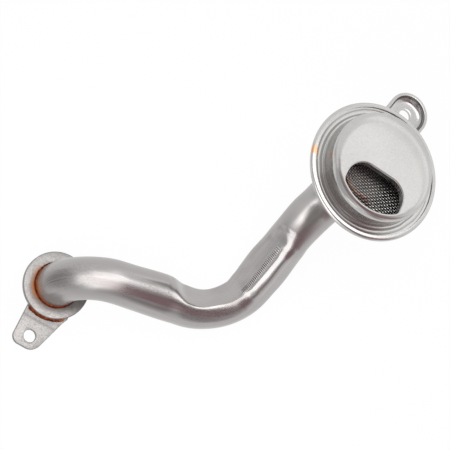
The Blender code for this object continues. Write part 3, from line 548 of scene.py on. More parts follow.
def brightWire():
    made, tree, shader = newMaterial("stainlessWire")
    place = addNode(tree, "ShaderNodeTexCoord", output="Object")
    place = addNode(tree, "ShaderNodeVectorMath", {"operation": "MULTIPLY"},
                    {0: place, 1: (1000, 1000, 1000)})  # to millimetres
    clouds = addNode(tree, "ShaderNodeTexNoise", None,
                     {"Vector": place, "Scale": wireLook["cloudScale"], "Detail": 2.0})
    share = addNode(tree, "ShaderNodeMapRange", None, {0: clouds, 1: 0.3, 2: 0.7, 3: 0.0, 4: 0.5})
    colour = addNode(tree, "ShaderNodeMix", {"data_type": "RGBA"},
                     {0: share, 6: hexColour(wireLook["steel"]), 7: hexColour(wireLook["shade"])}, 2)
    # painted shade and highlight: the wires are painted near black below the middle of the weave, so that
    # only the crests show bright
    axis = leaningTurn(0) @ Vector((0, 0, 1))
    base = Vector(lie["strainerRim"]) + axis * wireLook["middle"]
    rise = addNode(tree, "ShaderNodeVectorMath", {"operation": "SUBTRACT"}, {0: place, 1: tuple(base)})
    rise = addNode(tree, "ShaderNodeVectorMath", {"operation": "DOT_PRODUCT"},
                   {0: rise, 1: tuple(axis)}, "Value")
    low, high = wireLook["paintedCrestEnds"]
    crestLitShare = addNode(tree, "ShaderNodeMapRange", {"interpolation_type": "SMOOTHSTEP"},
                    {0: rise, 1: low, 2: high})
    colour = addNode(tree, "ShaderNodeMix", {"data_type": "RGBA"},
                     {0: crestLitShare, 6: hexColour(wireLook["valleyPaintedShade"]), 7: colour}, 2)
    ring = boreHighlightAndStain
    middle = setInto([ring["middle"]], lie["strainerRim"], 0)[0]
    away = addNode(tree, "ShaderNodeVectorMath", {"operation": "DISTANCE"},
                   {0: place, 1: tuple(middle)}, "Value")
    side = addNode(tree, "ShaderNodeSeparateXYZ", None, {0: place}, "X")
    left = addNode(tree, "ShaderNodeMapRange", {"interpolation_type": "SMOOTHSTEP"},
                   {0: side, 1: ring["fadeFrom"], 2: ring["fadeTo"], 3: 1.0, 4: 0.0})
    outside = addNode(tree, "ShaderNodeMapRange", None,
                      {0: away, 1: ring["radius"] - 0.2, 2: ring["radius"] + 0.2,
                       3: 0.0, 4: ring["stainShare"]})
    stained = addNode(tree, "ShaderNodeMath", {"operation": "MULTIPLY"}, {0: outside, 1: left})
    colour = addNode(tree, "ShaderNodeMix", {"data_type": "RGBA"},
                     {0: stained, 6: colour, 7: hexColour(ring["stain"])}, 2)
    # the pale ring: a painted highlight of the bore's brazed edge
    onRing = between(tree, away, ring["radius"] - ring["half"], ring["radius"] + ring["half"], 0.1)
    ringHighlightShare = addNode(tree, "ShaderNodeMath", {"operation": "MULTIPLY"}, {0: onRing, 1: left})
    colour = addNode(tree, "ShaderNodeMix", {"data_type": "RGBA"},
                     {0: ringHighlightShare, 6: colour, 7: hexColour(ring["colour"])}, 2)
    tree.links.new(colour, shader.inputs["Base Color"])
    shader.inputs["Metallic"].default_value = 1.0
    shader.inputs["Roughness"].default_value = wireLook["roughness"]
    return made


# Nitrile rubber of the O-ring, moulded, nearly black with a soft sheen
rubberLook = {"black": "#1d1d1e", "worn": "#2c2c2d", "gritScale": 3.0, "roughness": (0.5, 0.65),
              "bump": 0.01}


def nitrileRubber():
    made, tree, shader = newMaterial("nitrileRubber")
    place = addNode(tree, "ShaderNodeTexCoord", output="Object")
    place = addNode(tree, "ShaderNodeVectorMath", {"operation": "MULTIPLY"},
                    {0: place, 1: (1000, 1000, 1000)})  # to millimetres
    fine = addNode(tree, "ShaderNodeTexNoise", None,
                   {"Vector": place, "Scale": rubberLook["gritScale"], "Detail": 3.0})
    share = addNode(tree, "ShaderNodeMapRange", None, {0: fine, 1: 0.3, 2: 0.7, 3: 0.0, 4: 0.6})
    colour = addNode(tree, "ShaderNodeMix", {"data_type": "RGBA"},
                     {0: share, 6: hexColour(rubberLook["black"]), 7: hexColour(rubberLook["worn"])}, 2)
    tree.links.new(colour, shader.inputs["Base Color"])
    low, high = rubberLook["roughness"]
    rough = addNode(tree, "ShaderNodeMapRange", None, {0: fine, 1: 0.3, 2: 0.7, 3: low, 4: high})
    tree.links.new(rough, shader.inputs["Roughness"])
    dents = addNode(tree, "ShaderNodeBump", None,
                    {"Height": fine, "Distance": toMetres(rubberLook["bump"])})
    tree.links.new(dents, shader.inputs["Normal"])
    return made


tubeSteel = drawnSteel()
collarSteel = tumbledSteel("tumbledCollarSteel", plateLook["collar"], True)
earShadedSteel = tumbledSteel("tumbledEarSteelShaded", plateLook["ear"], False)
sheetSteel = drawnSheet("drawnSheetSteel", sheetLook["strainer"], True)
bracketSteel = drawnSheet("bracketSheetSteel", sheetLook["bracket"], False)
paintedShadeSteel = paintedShadeSheet()
wireSteel = brightWire()
braze = copperBraze()
rubber = nitrileRubber()
print("made the materials")


# Tube: a loft of round sections along its route, pressed flat along the inner side of the belly
tube = {
    "diameter": 22.2,
    "wall": 1.5,
    "sides": 112,
    "step": 0.9,
    "socketDepth": 5.0,
    "elbowHeight": 22.4,
    "firstCorner": (28.4, 3.4, 16.2),
    "bellyCorner": (85.8, -18.1, -11.2),
    "riseCorner": (120.1, 28.1, 3.7),
    "strainerCornerDepth": 38.0,
    "endDepth": 6.0,
    "bends": (17.3, 30.0, 28.0, 45.0, 24.0),
}

# The section by distance along the tube: which way the pressed flat faces, its depth, how much
# wider than high the section is, how far it is pushed outward and how crisp the flat's edge is
pressing = [
    {"at": 8.0, "facing": 45.0, "depth": 0.0, "wide": 0.0, "push": 0.0, "crisp": 14.0},
    {"at": 30.0, "facing": 50.0, "depth": 0.0, "wide": -0.035, "push": -0.3, "crisp": 14.0},
    {"at": 46.0, "facing": 50.0, "depth": 0.0, "wide": -0.015, "push": 0.15, "crisp": 14.0},
    {"at": 71.0, "facing": 58.0, "depth": 0.0, "wide": 0.04, "push": -0.3, "crisp": 20.0},
    {"at": 82.0, "facing": 62.0, "depth": 3.4, "wide": -0.04, "push": 0.35, "crisp": 26.0},
    {"at": 97.0, "facing": 62.0, "depth": 3.9, "wide": -0.07, "push": 0.25, "crisp": 28.0},
    {"at": 112.0, "facing": 55.0, "depth": 3.6, "wide": -0.05, "push": 0.2, "crisp": 26.0},
    {"at": 121.0, "facing": 46.0, "depth": 3.0, "wide": 0.0, "push": -0.2, "crisp": 16.0},
    {"at": 136.0, "facing": 30.0, "depth": 2.4, "wide": 0.05, "push": 0.2, "crisp": 12.0},
    {"at": 151.0, "facing": 28.0, "depth": 2.0, "wide": -0.02, "push": 0.45, "crisp": 12.0},
    {"at": 157.5, "facing": 28.0, "depth": 0.0, "wide": -0.045, "push": 0.2, "crisp": 12.0},
    {"at": 172.0, "facing": 28.0, "depth": 0.0, "wide": 0.0, "push": 0.0, "crisp": 14.0},
]
# The outer side of the rise is pressed flat too, below a finger-shaped ridge that ends abruptly
outerFlat = {"from": 119.0, "to": 149.0, "ease": 5.0, "facing": -58.0, "depth": 1.3, "crisp": 18.0}
finger = {"from": 123.5, "to": 149.5, "ease": 3.2, "angles": (-38.0, 2.0), "soft": 9.0,
          "height": 0.6}
unpressed = {"facing": 45.0, "depth": 0.0, "wide": 0.0, "push": 0.0, "crisp": 14.0}
collarFace = Vector(lie["collarFace"])
strainerRim = Vector(lie["strainerRim"])
leanAxis = leaningTurn(0) @ Vector((0, 0, 1))
tubeRadius = tube["diameter"] / 2


def pressedAt(distance):
    if not pressing[0]["at"] < distance < pressing[-1]["at"]:
        return unpressed
    for start, end in zip(pressing, pressing[1:]):
        if distance <= end["at"]:
            share = (distance - start["at"]) / (end["at"] - start["at"])
            eased = share * share * (3 - 2 * share)
            return {key: start[key] + (end[key] - start[key]) * eased for key in start}
    return pressing[-1]


def softStep(value, middle, ease):
    share = np.clip((value - middle + ease) / (2 * ease), 0, 1)
    return share * share * (3 - 2 * share)


def raised(distance, part):
    return softStep(distance, part["from"], part["ease"]) * \
        (1 - softStep(distance, part["to"], part["ease"]))


# The outer flat and the finger, taken from and laid on a section of the rise
def shapedRise(angles, radius, distance):
    depth = outerFlat["depth"] * raised(distance, outerFlat)
    if depth > 0.01:
        facing = np.cos(angles - math.radians(outerFlat["facing"]))
        flat = np.maximum(facing, 0.0) / (tubeRadius - depth)
        power = outerFlat["crisp"]
        radius = (radius**-power + flat**power) ** (-1 / power)
    start, end = (math.radians(a) for a in finger["angles"])
    soft = math.radians(finger["soft"])
    across = softStep(angles, start, soft) * (1 - softStep(angles, end, soft))
    return radius + finger["height"] * raised(distance, finger) * across


def sectionRadius(angles, press):
    high = np.cos(angles) / (tubeRadius * (1 - press["wide"]))
    across = np.sin(angles) / (tubeRadius * (1 + press["wide"]))
    full = 1 / np.hypot(high, across)
    if press["depth"] == 0:
        return full
    facing = np.cos(angles - math.radians(press["facing"]))
    flat = np.maximum(facing, 0.0) / (tubeRadius - press["depth"])
    power = press["crisp"]
    return (full**-power + flat**power) ** (-1 / power)


def tubeCorners():
    return [
        collarFace - leanAxis * (tube["socketDepth"] - lie["gap"]),
        collarFace + leanAxis * tube["elbowHeight"],
        collarFace + Vector(tube["firstCorner"]),
        collarFace + Vector(tube["bellyCorner"]),
        collarFace + Vector(tube["riseCorner"]),
        strainerRim - leanAxis * tube["strainerCornerDepth"],
        strainerRim - leanAxis * tube["endDepth"],
    ]


def makeTube():
    route = roundedRoute(tubeCorners(), tube["bends"], 0.5)
    places, distances = evenlySpaced(route, tube["step"])
    angles = -math.tau * (np.arange(tube["sides"]) - tube["sides"] / 2) / tube["sides"]
    outside, inside, sleeveOut, sleeveIn = [], [], [], []
    for k, (place, distance) in enumerate(zip(places, distances)):
        ends = places[max(k - 2, 0)], places[min(k + 2, len(places) - 1)]
        course = (ends[1] - ends[0]).normalized()
        if k in (0, len(places) - 1):
            course = leanAxis
        top = (Vector((0, 0, 1)) - course * course.z).normalized()
        inner = top.cross(course)
        press = pressedAt(distance)
        middle = np.array(place - inner * press["push"])
        radius = shapedRise(angles, sectionRadius(angles, press), distance)
        spokes = np.outer(np.cos(angles), top) + np.outer(np.sin(angles), inner)
        outside.append(middle + spokes * radius[:, None])
        inside.append(middle + spokes * (radius - tube["wall"])[:, None])
        ring = np.stack([np.cos(angles) * tubeRadius, np.sin(angles) * tubeRadius], 1)
        sleeveOut.append(np.column_stack([ring, np.full(len(angles), distance)]))
        sleeveIn.append(np.column_stack([ring * 0.9, np.full(len(angles), distance)]))
    points = np.concatenate(outside + inside[::-1])
    sleeve = np.concatenate(sleeveOut + sleeveIn[::-1])
    around = np.tile(np.degrees(angles), 2 * len(places))
    faces = gridFaces(2 * len(places), tube["sides"], True, True)
    return pieceFrom("tubeSkin", points, faces, tubeSteel, "pickup_tube",
                     40, sleeve, around)


makeTube()
print("made the tube")


# Collar with its spigot, and the O-ring in its groove
collar = {
    "radius": 17.4,
    "thickness": 2.5,
    "edge": 0.5,
    "spigot": 12.7,
    "spigotLength": 12.3,
    "bore": 9.2,
    "chamfer": 0.9,
    "ringGrooveDepth": 1.9,
    "ringGrooveHeight": 3.2,
    "ringGrooveBelowEar": 4.0,
    "ringCord": 2.6,
    "segments": 160,
}
ear = {
    "thickness": 2.5,
    "reach": 29.0,
    "hole": 6.5,
    "end": 35.31,
    "straightSide": 8.1,
    "straightCorner": 4.5,
    "slopingCorner": 6.0,
    "slopeAtEnd": 5.4,
    "slopeAtRoot": 12.1,
    "slopeRoot": 15.0,
    "rootAngle": 47.2,
    "rootReach": 18.26,
    "ringRadius": 16.2,
    "stepStart": 19.2,
    "stepLength": 2.4,
    "stepHeight": 0.14,
    "edgeRound": 0.22,
}


def makeCollar():
    bottom = -collar["thickness"] - collar["spigotLength"]
    grooveTop = -collar["thickness"] - lie["gap"] - ear["thickness"] - collar["ringGrooveBelowEar"]
    grooveBottom = grooveTop - collar["ringGrooveHeight"]
    floor = collar["spigot"] - collar["ringGrooveDepth"]
    spigot, socket = collar["spigot"], tubeRadius + lie["gap"]
    profile = roundedProfile([
        (collar["radius"], 0, collar["edge"]),
        (collar["radius"], -collar["thickness"], 0.25),
        (spigot, -collar["thickness"], 0),
        (spigot, grooveTop, 0.2),
        (floor, grooveTop, 0.2),
        (floor, grooveBottom, 0.2),
        (spigot, grooveBottom, 0.2),
        (spigot, bottom + collar["chamfer"], 0.2),
        (spigot - collar["chamfer"], bottom, 0.2),
        (collar["bore"], bottom, 0.3),
        (collar["bore"], -tube["socketDepth"], 0.2),
        (socket, -tube["socketDepth"], 0.1),
        (socket, 0, 0.15),
    ], 3)
    turnedPiece("collarPlate", profile, collar["segments"], lie["collarFace"], lie["earHeading"],
                collarSteel, "flange_collar")
    cord = collar["ringCord"] / 2
    middle = floor + lie["gap"] + cord
    height = (grooveTop + grooveBottom) / 2
    section = [(r, z) for r, z in arcPoints((middle, height), cord, 90, -270, 24)[:-1]]
    turnedPiece("ringSeal", section, 128, lie["collarFace"], lie["earHeading"], rubber,
                "o_ring", 80)


def earLoop():
    side = math.degrees(math.asin(ear["straightSide"] / ear["ringRadius"]))
    start = ear["rootAngle"] + 8
    ring = arcPoints((0, 0), ear["ringRadius"], start, 360 - side, 70)
    corners = [
        Vector((*ring[-1], 0)),
        Vector((ear["end"], -ear["straightSide"], 0)),
        Vector((ear["end"], ear["slopeAtEnd"], 0)),
        Vector((ear["slopeRoot"], ear["slopeAtRoot"], 0)),
    ]
    bends = (ear["straightCorner"], ear["slopingCorner"])
    tab = roundedRoute(corners, bends, 0.5)
    root = math.radians(ear["rootAngle"])
    tip = (ear["rootReach"] * math.cos(root), ear["rootReach"] * math.sin(root))
    return ring + [(p.x, p.y) for p in tab[1:]] + [tip]


# A flat plate from an outline and its holes, with softened edges.
def plateFrom(name, loops, thickness, edgeRound):
    curve = bpy.data.curves.new(name, "CURVE")
    curve.dimensions = "2D"
    curve.fill_mode = "BOTH"
    curve.extrude = toMetres(thickness / 2 - edgeRound)
    curve.bevel_depth = toMetres(edgeRound)
    curve.bevel_resolution = 2
    curve.offset = -toMetres(edgeRound)
    for loop in loops:
        spline = curve.splines.new("POLY")
        spline.points.add(len(loop) - 1)
        for point, (x, y) in zip(spline.points, loop):
            point.co = (toMetres(x), toMetres(y), 0, 1)
        spline.use_cyclic_u = True
    guide = bpy.data.objects.new(name + "Guide", curve)
    bpy.context.scene.collection.objects.link(guide)
    graph = bpy.context.evaluated_depsgraph_get()
    mesh = bpy.data.meshes.new_from_object(guide.evaluated_get(graph))
    bpy.data.objects.remove(guide)
    return mesh


def makeEar():
    bore = collar["spigot"] + lie["gap"]
    loops = [
        earLoop(),
        arcPoints((ear["reach"], 0), ear["hole"] / 2, 360, 0, 64)[:-1],
        arcPoints((0, 0), bore, 360, 0, 96)[:-1],
    ]
    mesh = plateFrom("earPlate", loops, ear["thickness"], ear["edgeRound"])
    build = bmesh.new()
    build.from_mesh(mesh)
    bmesh.ops.remove_doubles(build, verts=build.verts, dist=0.000002)
    stepEnd = ear["stepStart"] + ear["stepLength"]
    for reach in np.linspace(ear["stepStart"], stepEnd, 7):
        everything = build.verts[:] + build.edges[:] + build.faces[:]
        bmesh.ops.bisect_plane(build, geom=everything, plane_co=(toMetres(reach), 0, 0),
                               plane_no=(1, 0, 0))
    middle = -collar["thickness"] - lie["gap"] - ear["thickness"] / 2
    for vert in build.verts:
        share = min(max((vert.co.x * 1000 - ear["stepStart"]) / ear["stepLength"], 0), 1)
        eased = share * share * (3 - 2 * share)
        vert.co.z += toMetres(middle + ear["stepHeight"] * eased)
    build.to_mesh(mesh)
    build.free()
    seat = leaningTurn(lie["earHeading"]).to_4x4()
    seat.translation = Vector([toMetres(v) for v in lie["collarFace"]])
    mesh.transform(seat)
    plate = bpy.data.objects.new("earPlate", mesh)
    bpy.context.scene.collection.objects.link(plate)
    finishPiece(plate, earShadedSteel, "bolt_ear", 30)


# Brazed joints: a ring in two thin beads round the tube, and a run along the collar's edge
joints = {
    "overlap": 0.05,          # how far the braze reaches into what it joins
    "ringSections": ((0.0, 1.15), (0.14, 1.1), (0.32, 0.85), (0.44, 0.5), (0.5, 0.24), (0.58, 0.4),
                     (0.7, 0.42), (0.8, 0.28), (0.9, 0.02)),
    "ringWander": 0.10,
    "seamWidth": 1.05,
    "seamHeight": 0.8,        # share of the collar's thickness
    "seamSections": ((1.0, 0.0), (0.97, 0.14), (0.75, 0.5), (0.45, 0.8), (0.15, 0.97)),
    "seamWander": 0.2,
    "seamStart": -25.0,
    "seamEnd": 43.0,
}


def brazeRing(name, place, turn, height, node):
    inner = tubeRadius - joints["overlap"]
    segments = 220
    points = []
    for k in range(segments):
        angle = math.tau * k / segments
        spot = Vector((math.cos(angle) * 2.2, math.sin(angle) * 2.2, height))
        wider = 1 + joints["ringWander"] * noise.noise(spot)
        taller = 1 + 2 * joints["ringWander"] * noise.noise(spot * 1.7)
        section = [(0, joints["ringSections"][0][1])]
        section += [(joints["overlap"] + out * wider, up * taller)
                    for out, up in joints["ringSections"]]
        section += [(joints["overlap"] + joints["ringSections"][-1][0] * wider, -lie["gap"]),
                    (0, -lie["gap"])]
        for out, up in section:
            radius = inner + out
            points.append((radius * math.cos(angle), radius * math.sin(angle), height + up))
    count = len(points) // segments
    faces = [f[::-1] for f in gridFaces(segments, count, True, True)]
    pieceFrom(name, setInto(points, place, turn), faces, braze, node, 60)


def makeEarSeam():
    inner = collar["radius"] - joints["overlap"]
    rows = 110
    points = []
    for k in range(rows + 1):
        share = k / rows
        angle = math.radians(joints["seamStart"] + (joints["seamEnd"] - joints["seamStart"]) * share)
        taper = min(1.0, 0.3 + min(share, 1 - share) * 14)
        spot = Vector((math.cos(angle) * 6, math.sin(angle) * 6, 3.0))
        uneven = 1 + joints["seamWander"] * noise.noise(spot)
        width = joints["seamWidth"] * uneven * taper
        high = collar["thickness"] * joints["seamHeight"] * uneven * (0.4 + 0.6 * taper)
        section = [(0, 0)] + [(width * out, high * up) for out, up in joints["seamSections"]]
        for out, up in section + [(0, high)]:
            radius = inner + out
            points.append((radius * math.cos(angle), radius * math.sin(angle),
                           -collar["thickness"] - lie["gap"] + up))
    count = len(points) // (rows + 1)
    faces = [f[::-1] for f in gridFaces(rows + 1, count, False, True)]
    faces += [tuple(range(count)), tuple(reversed(range(rows * count, (rows + 1) * count)))]
    points = setInto(points, lie["collarFace"], lie["earHeading"])
    pieceFrom("earBraze", points, faces, braze, "ear_braze_seam", 60)


makeCollar()
makeEar()
brazeRing("collarBraze", lie["collarFace"], lie["earHeading"], lie["gap"], "collar_braze_ring")
makeEarSeam()
print("made the collar end")


# Strainer shell: one pressing from the neck to the bead rolled over the rim
shell = {
    "rim": 34.6,
    "lipWidth": 2.4,
    "flangeWidth": 4.3,
    "ledgeWidth": 2.6,
    "sheet": 0.8,
    "depth": 11.5,
    "bowlSlope": 9.2,
    "neckLength": 3.5,
    "neckRound": 1.4,
    "segments": 192,
}
cover = {
    "sheet": 0.8,
    "plateauHeight": 11.13,
    "flangeWidth": 7.2,
    "wallDraft": 3.5,
    "footRound": 0.6,
    "shoulder": 3.3,
    "flangeLines": ((30.9, 0.16), (28.5, 0.3)),  # radius and depth of the rings left by the press
    "lineWidth": 0.32,
}
screen = {"thickness": 0.8, "wave": 0.25, "pitch": 1.15, "wire": 0.235, "heading": 24.9}
coverWall = shell["rim"] - cover["flangeWidth"]
plateau = coverWall - cover["wallDraft"]


# The sheet's inner side is painted dark as shade: below the top, within the reach, and facing the middle
paintedShadeZone = {"middle": -4.0, "reach": 30.0, "top": -1.4}


def screenLevel():
    return -cover["sheet"] - lie["gap"] - screen["wave"] - screen["thickness"] / 2


def thickenAndApply(name, points, faces, sheet, look, node, sharp=35):
    made = pieceFrom(name, points, faces, look, node, sharp)
    solid = made.modifiers.new("sheet", "SOLIDIFY")
    solid.thickness = toMetres(sheet)
    solid.offset = 0
    solid.use_even_offset = True
    applyModifiers(made)
    made.data.set_sharp_from_angle(angle=math.radians(sharp))
    # inner and downward faces get the sheet painted dark as shade
    made.data.materials.append(paintedShadeSteel)
    for face in made.data.polygons:
        spot = face.center * 1000 - strainerRim
        high = spot.dot(leanAxis)
        away = (spot - leanAxis * high).length
        inward = face.normal.dot(leanAxis * paintedShadeZone["middle"] - spot) > 0
        downward = face.normal.dot(leanAxis) < -0.4
        if (inward and away < paintedShadeZone["reach"] and high < paintedShadeZone["top"]) or (downward and high > 0):
            face.material_index = 1
    return made


# An open profile with its inner corners rounded.
def openProfile(points, pieces=4):
    closed = [(*points[0][:2], 0), *points[1:-1], (*points[-1][:2], 0)]
    return roundedProfile(closed, pieces)


def makeShell():
    half = shell["sheet"] / 2
    flangeMiddle = -cover["sheet"] / 2
    bead = cover["sheet"] / 2 + lie["gap"] + half
    flange = flangeMiddle - bead
    neck = tubeRadius + lie["gap"] + half
    ledge = shell["rim"] - shell["flangeWidth"]
    mouth = ledge - shell["ledgeWidth"]
    floor = -shell["depth"]
    ledgeFloor = screenLevel() - screen["thickness"] / 2 - screen["wave"] - lie["gap"] - half
    profile = openProfile([
        (neck, floor - shell["neckLength"], 0),
        (neck, floor, shell["neckRound"]),
        (mouth - shell["bowlSlope"], floor, 2.2),
        (mouth, ledgeFloor, 1.0),
        (ledge, ledgeFloor, 0.45),
        (ledge, flange, 0.45),
        (shell["rim"] - half - bead, flange, 0),
    ])
    beadMiddle = (shell["rim"] - half - bead, flangeMiddle)
    profile += arcPoints(beadMiddle, bead, -80, 90, 14)
    profile.append((shell["rim"] - shell["lipWidth"], flangeMiddle + bead))
    rings = []
    for k in range(shell["segments"]):
        angle = math.tau * k / shell["segments"]
        rings += [(r * math.cos(angle), r * math.sin(angle), z) for r, z in profile]
    faces = gridFaces(shell["segments"], len(profile), True, False)
    points = setInto(rings, lie["strainerRim"], lie["strainerHeading"])
    thickenAndApply("strainerBack", points, faces, shell["sheet"], sheetSteel,
                    "strainer_shell", 50)


# Window of the cover, with one straight side and one that follows the plateau
inlet = {
    "heading": -166.9,
    "nearSide": 4.0,
    "farMargin": 0.4,
    "halfLength": 15.7,
    "nearCorner": 9.5,
    "farCorner": 3.0,
    "lipDepth": 3.5,
    "lipRound": 0.45,
    "farPieces": 60,
}


def inletLoop(grown):
    far = plateau - inlet["farMargin"]
    farMiddle = inlet["halfLength"] - inlet["farCorner"]
    farReach = far - inlet["farCorner"]
    farAngle = math.degrees(math.asin(farMiddle / farReach))
    farAlong = math.sqrt(farReach**2 - farMiddle**2)
    nearAlong = inlet["nearSide"] + inlet["nearCorner"]
    nearMiddle = inlet["halfLength"] - inlet["nearCorner"]
    farSide = arcPoints((0, 0), far + grown, -farAngle, farAngle, inlet["farPieces"])
    corner = arcPoints((farAlong, farMiddle), inlet["farCorner"] + grown, farAngle, 90, 14)
    nearer = arcPoints((nearAlong, nearMiddle), inlet["nearCorner"] + grown, 90, 180, 30)
    near = [(inlet["nearSide"] - grown, nearMiddle * s) for s in (0.83, 0.66, 0.5, 0.33, 0.16)]
    half = corner[1:] + nearer + near
    return farSide + half + [(x, -y) for x, y in reversed(half)]


# An angle round the axis for each point of the window: its own on the far side, and the rest of
# the turn shared out by distance along the loop.
def facingOf(loop):
    count = inlet["farPieces"] + 1
    own = [math.atan2(y, x) for x, y in loop[:count]]
    rest = loop[count - 1:] + loop[:1]
    steps = [math.dist(start, end) for start, end in zip(rest, rest[1:])]
    turnLeft = math.tau - (own[-1] - own[0])
    gone = 0.0
    for step in steps[:-1]:
        gone += step
        own.append(own[count - 1] + turnLeft * gone / sum(steps))
    return own


def plateauLevel(radius):
    half = cover["sheet"] / 2
    bend = cover["shoulder"] - half
    past = min(max(radius - plateau, 0), bend)
    return cover["plateauHeight"] - half - bend + math.sqrt(max(bend**2 - past**2, 0))


def makeCover():
    half = cover["sheet"] / 2
    wall = coverWall - half
    bend = cover["shoulder"] - half
    foot = cover["footRound"]
    outer = [(shell["rim"] - shell["sheet"] - half - lie["gap"], -half)]
    for radius, depth in cover["flangeLines"]:
        outer += [(radius + cover["lineWidth"], -half), (radius, -half - depth),
                  (radius - cover["lineWidth"], -half)]
    outer.append((wall + foot * 1.6, -half))
    for degrees in (0, 22, 45, 67, 90):
        a = math.radians(degrees)
        outer.append((wall + foot - foot * math.sin(a), -half + foot - foot * math.cos(a)))
    top = plateauLevel(plateau + bend)
    for share in (0.33, 0.66):
        height = foot - half + (top - foot + half) * share
        outer.append((wall + (plateau + bend - wall) * share, height))
    for degrees in (90, 78, 66, 54, 44):
        radius = plateau + bend * math.sin(math.radians(degrees))
        outer.append((radius, plateauLevel(radius)))
    lip = inlet["lipRound"]
    window = []
    for degrees in (0, 18, 36, 54, 72, 90):
        a = math.radians(degrees)
        window.append((half + lip * (1 - math.sin(a)), lip * (1 - math.cos(a))))
    window += [(half, lip * 1.8), (half, inlet["lipDepth"] - half)]
    first = inletLoop(window[0][0])
    facing = facingOf(first)
    rings = [[(r * math.cos(a), r * math.sin(a), z) for a in facing] for r, z in outer]
    shoulder = outer[-1][0]
    for share in (0.8, 0.6, 0.42, 0.26, 0.12):
        ring = []
        for angle, (x, y) in zip(facing, first):
            inner = math.hypot(x, y)
            at = Vector((shoulder * math.cos(angle), shoulder * math.sin(angle)))
            spot = Vector((x, y)).lerp(at, share)
            radius = max(spot.length, inner if inner > plateau else 0)
            spot = spot.normalized() * radius
            ring.append((spot.x, spot.y, plateauLevel(radius)))
        rings.append(ring)
    for grown, drop in window:
        ring = []
        for (x, y), (startX, startY) in zip(inletLoop(grown), first):
            ring.append((x, y, plateauLevel(math.hypot(startX, startY)) - drop))
        rings.append(ring)
    points = np.array(rings).reshape(-1, 3)
    faces = gridFaces(len(rings), len(first), False, True)
    turn = lie["strainerHeading"] + inlet["heading"]
    points = setInto(points, lie["strainerRim"], turn)
    thickenAndApply("strainerFront", points, faces, cover["sheet"], sheetSteel,
                    "strainer_cover", 50)


# Plain weave: wires in two directions pass over and under each other in turn.
def makeScreen():
    pitch, radius = screen["pitch"], screen["wire"]
    mouth = shell["rim"] - shell["flangeWidth"] - shell["ledgeWidth"] - 0.4
    count = int(mouth / pitch)
    sides, points, faces = 5, [], []
    for direction in (0, 1):
        for line in range(-count, count + 1):
            offset = (line + 0.5) * pitch
            half = math.sqrt(max(mouth**2 - offset**2, 0))
            pieces = int(half / pitch)
            if pieces < 1:
                continue
            stations = np.arange(-pieces * 4, pieces * 4 + 1) / 4
            start = len(points)
            for station in stations:
                sign = 1 if (line + direction) % 2 else -1
                rise = sign * radius * 1.05 * math.cos(math.pi * (station + 0.5))
                for k in range(sides):
                    a = math.tau * k / sides
                    across = offset + radius * math.cos(a)
                    high = rise + radius * math.sin(a)
                    along = station * pitch
                    points.append((along, across, high) if direction else (across, along, high))
            for f in gridFaces(len(stations), sides, False, True):
                turned = f if direction else f[::-1]
                faces.append(tuple(start + v for v in turned))
            caps = (range(start, start + sides), range(len(points) - sides, len(points)))
            faces += [tuple(reversed(caps[0])), tuple(caps[1])] if direction else \
                     [tuple(caps[0]), tuple(reversed(caps[1]))]
    points = np.array(points) + np.array((0, 0, screenLevel() + screen["thickness"] / 2 - 0.1))
    points = setInto(points, lie["strainerRim"], screen["heading"])
    pieceFrom("screenWeave", points, faces, wireSteel, "screen", 60)
    rim = shell["rim"] - shell["flangeWidth"] - 0.4 - lie["gap"]
    level = screenLevel()
    hold = screen["thickness"] / 2
    edge = roundedProfile([
        (rim, level + hold, 0.15),
        (rim, level - hold, 0.15),
        (mouth - 0.8, level - hold, 0.15),
        (mouth - 0.8, level + hold, 0.15),
    ], 2)
    turnedPiece("screenEdge", edge, 128, lie["strainerRim"], lie["strainerHeading"], sheetSteel,
                None)


makeShell()
makeCover()
makeScreen()
brazeRing("neckBraze", lie["strainerRim"], lie["strainerHeading"],
          -shell["depth"] + shell["sheet"] / 2 + lie["gap"], "neck_braze_ring")
print("made the strainer")


# Bracket: a dished strap from behind the tube's last bend to its round foot
bracket = {
    "sheet": 1.5,
    "footReach": 51.1,
    "footRadius": 11.23,
    "endHalfWidth": 10.8,
    "seatDepth": 24.0,
    "wall": 4.5,
    "cradleWall": 4.0,
    "corner": 3.6,
    "slope": 33.0,
    "knee": 9.0,
    "cradleStart": 14.0,
    "hole": 6.6,
    "ringRadius": 5.1,
    "ringDrop": 0.35,
}


def heelOfLastBend():
    turn = leaningTurn(lie["strainerHeading"]).transposed()
    run = turn @ (strainerRim - collarFace - Vector(tube["riseCorner"]))
    come = run - Vector((0, 0, tube["strainerCornerDepth"]))
    slope = math.atan2(come.z, math.hypot(come.x, come.y))
    bend = tube["bends"][-1]
    tangent = bend * math.tan((math.pi / 2 - slope) / 2)
    startX = -tangent * math.cos(slope)
    startZ = -tube["strainerCornerDepth"] - tangent * math.sin(slope)
    return startX - bend * math.sin(slope), startZ + bend * math.cos(slope)


def bracketRoute():
    middleX, middleZ = heelOfLastBend()
    around = tube["bends"][-1] + tubeRadius + lie["gap"] + bracket["sheet"] / 2
    start, slope = math.radians(bracket["cradleStart"]), math.radians(bracket["slope"])
    foot = -bracket["seatDepth"] - bracket["sheet"] / 2
    first = Vector((middleX + around * math.sin(start), 0, middleZ - around * math.cos(start)))
    last = Vector((middleX + around * math.sin(slope), 0, middleZ - around * math.cos(slope)))
    bend = around * math.tan((slope - start) / 2)
    corner = first + Vector((math.cos(start), 0, math.sin(start))) * bend
    rise = (foot - last.z) / math.sin(slope)
    knee = last + Vector((math.cos(slope), 0, math.sin(slope))) * rise
    end = Vector((bracket["footReach"], 0, foot))
    route = roundedRoute([first, corner, knee, end], (around, bracket["knee"]), 0.8)
    return evenlySpaced(route, 0.8)[0]


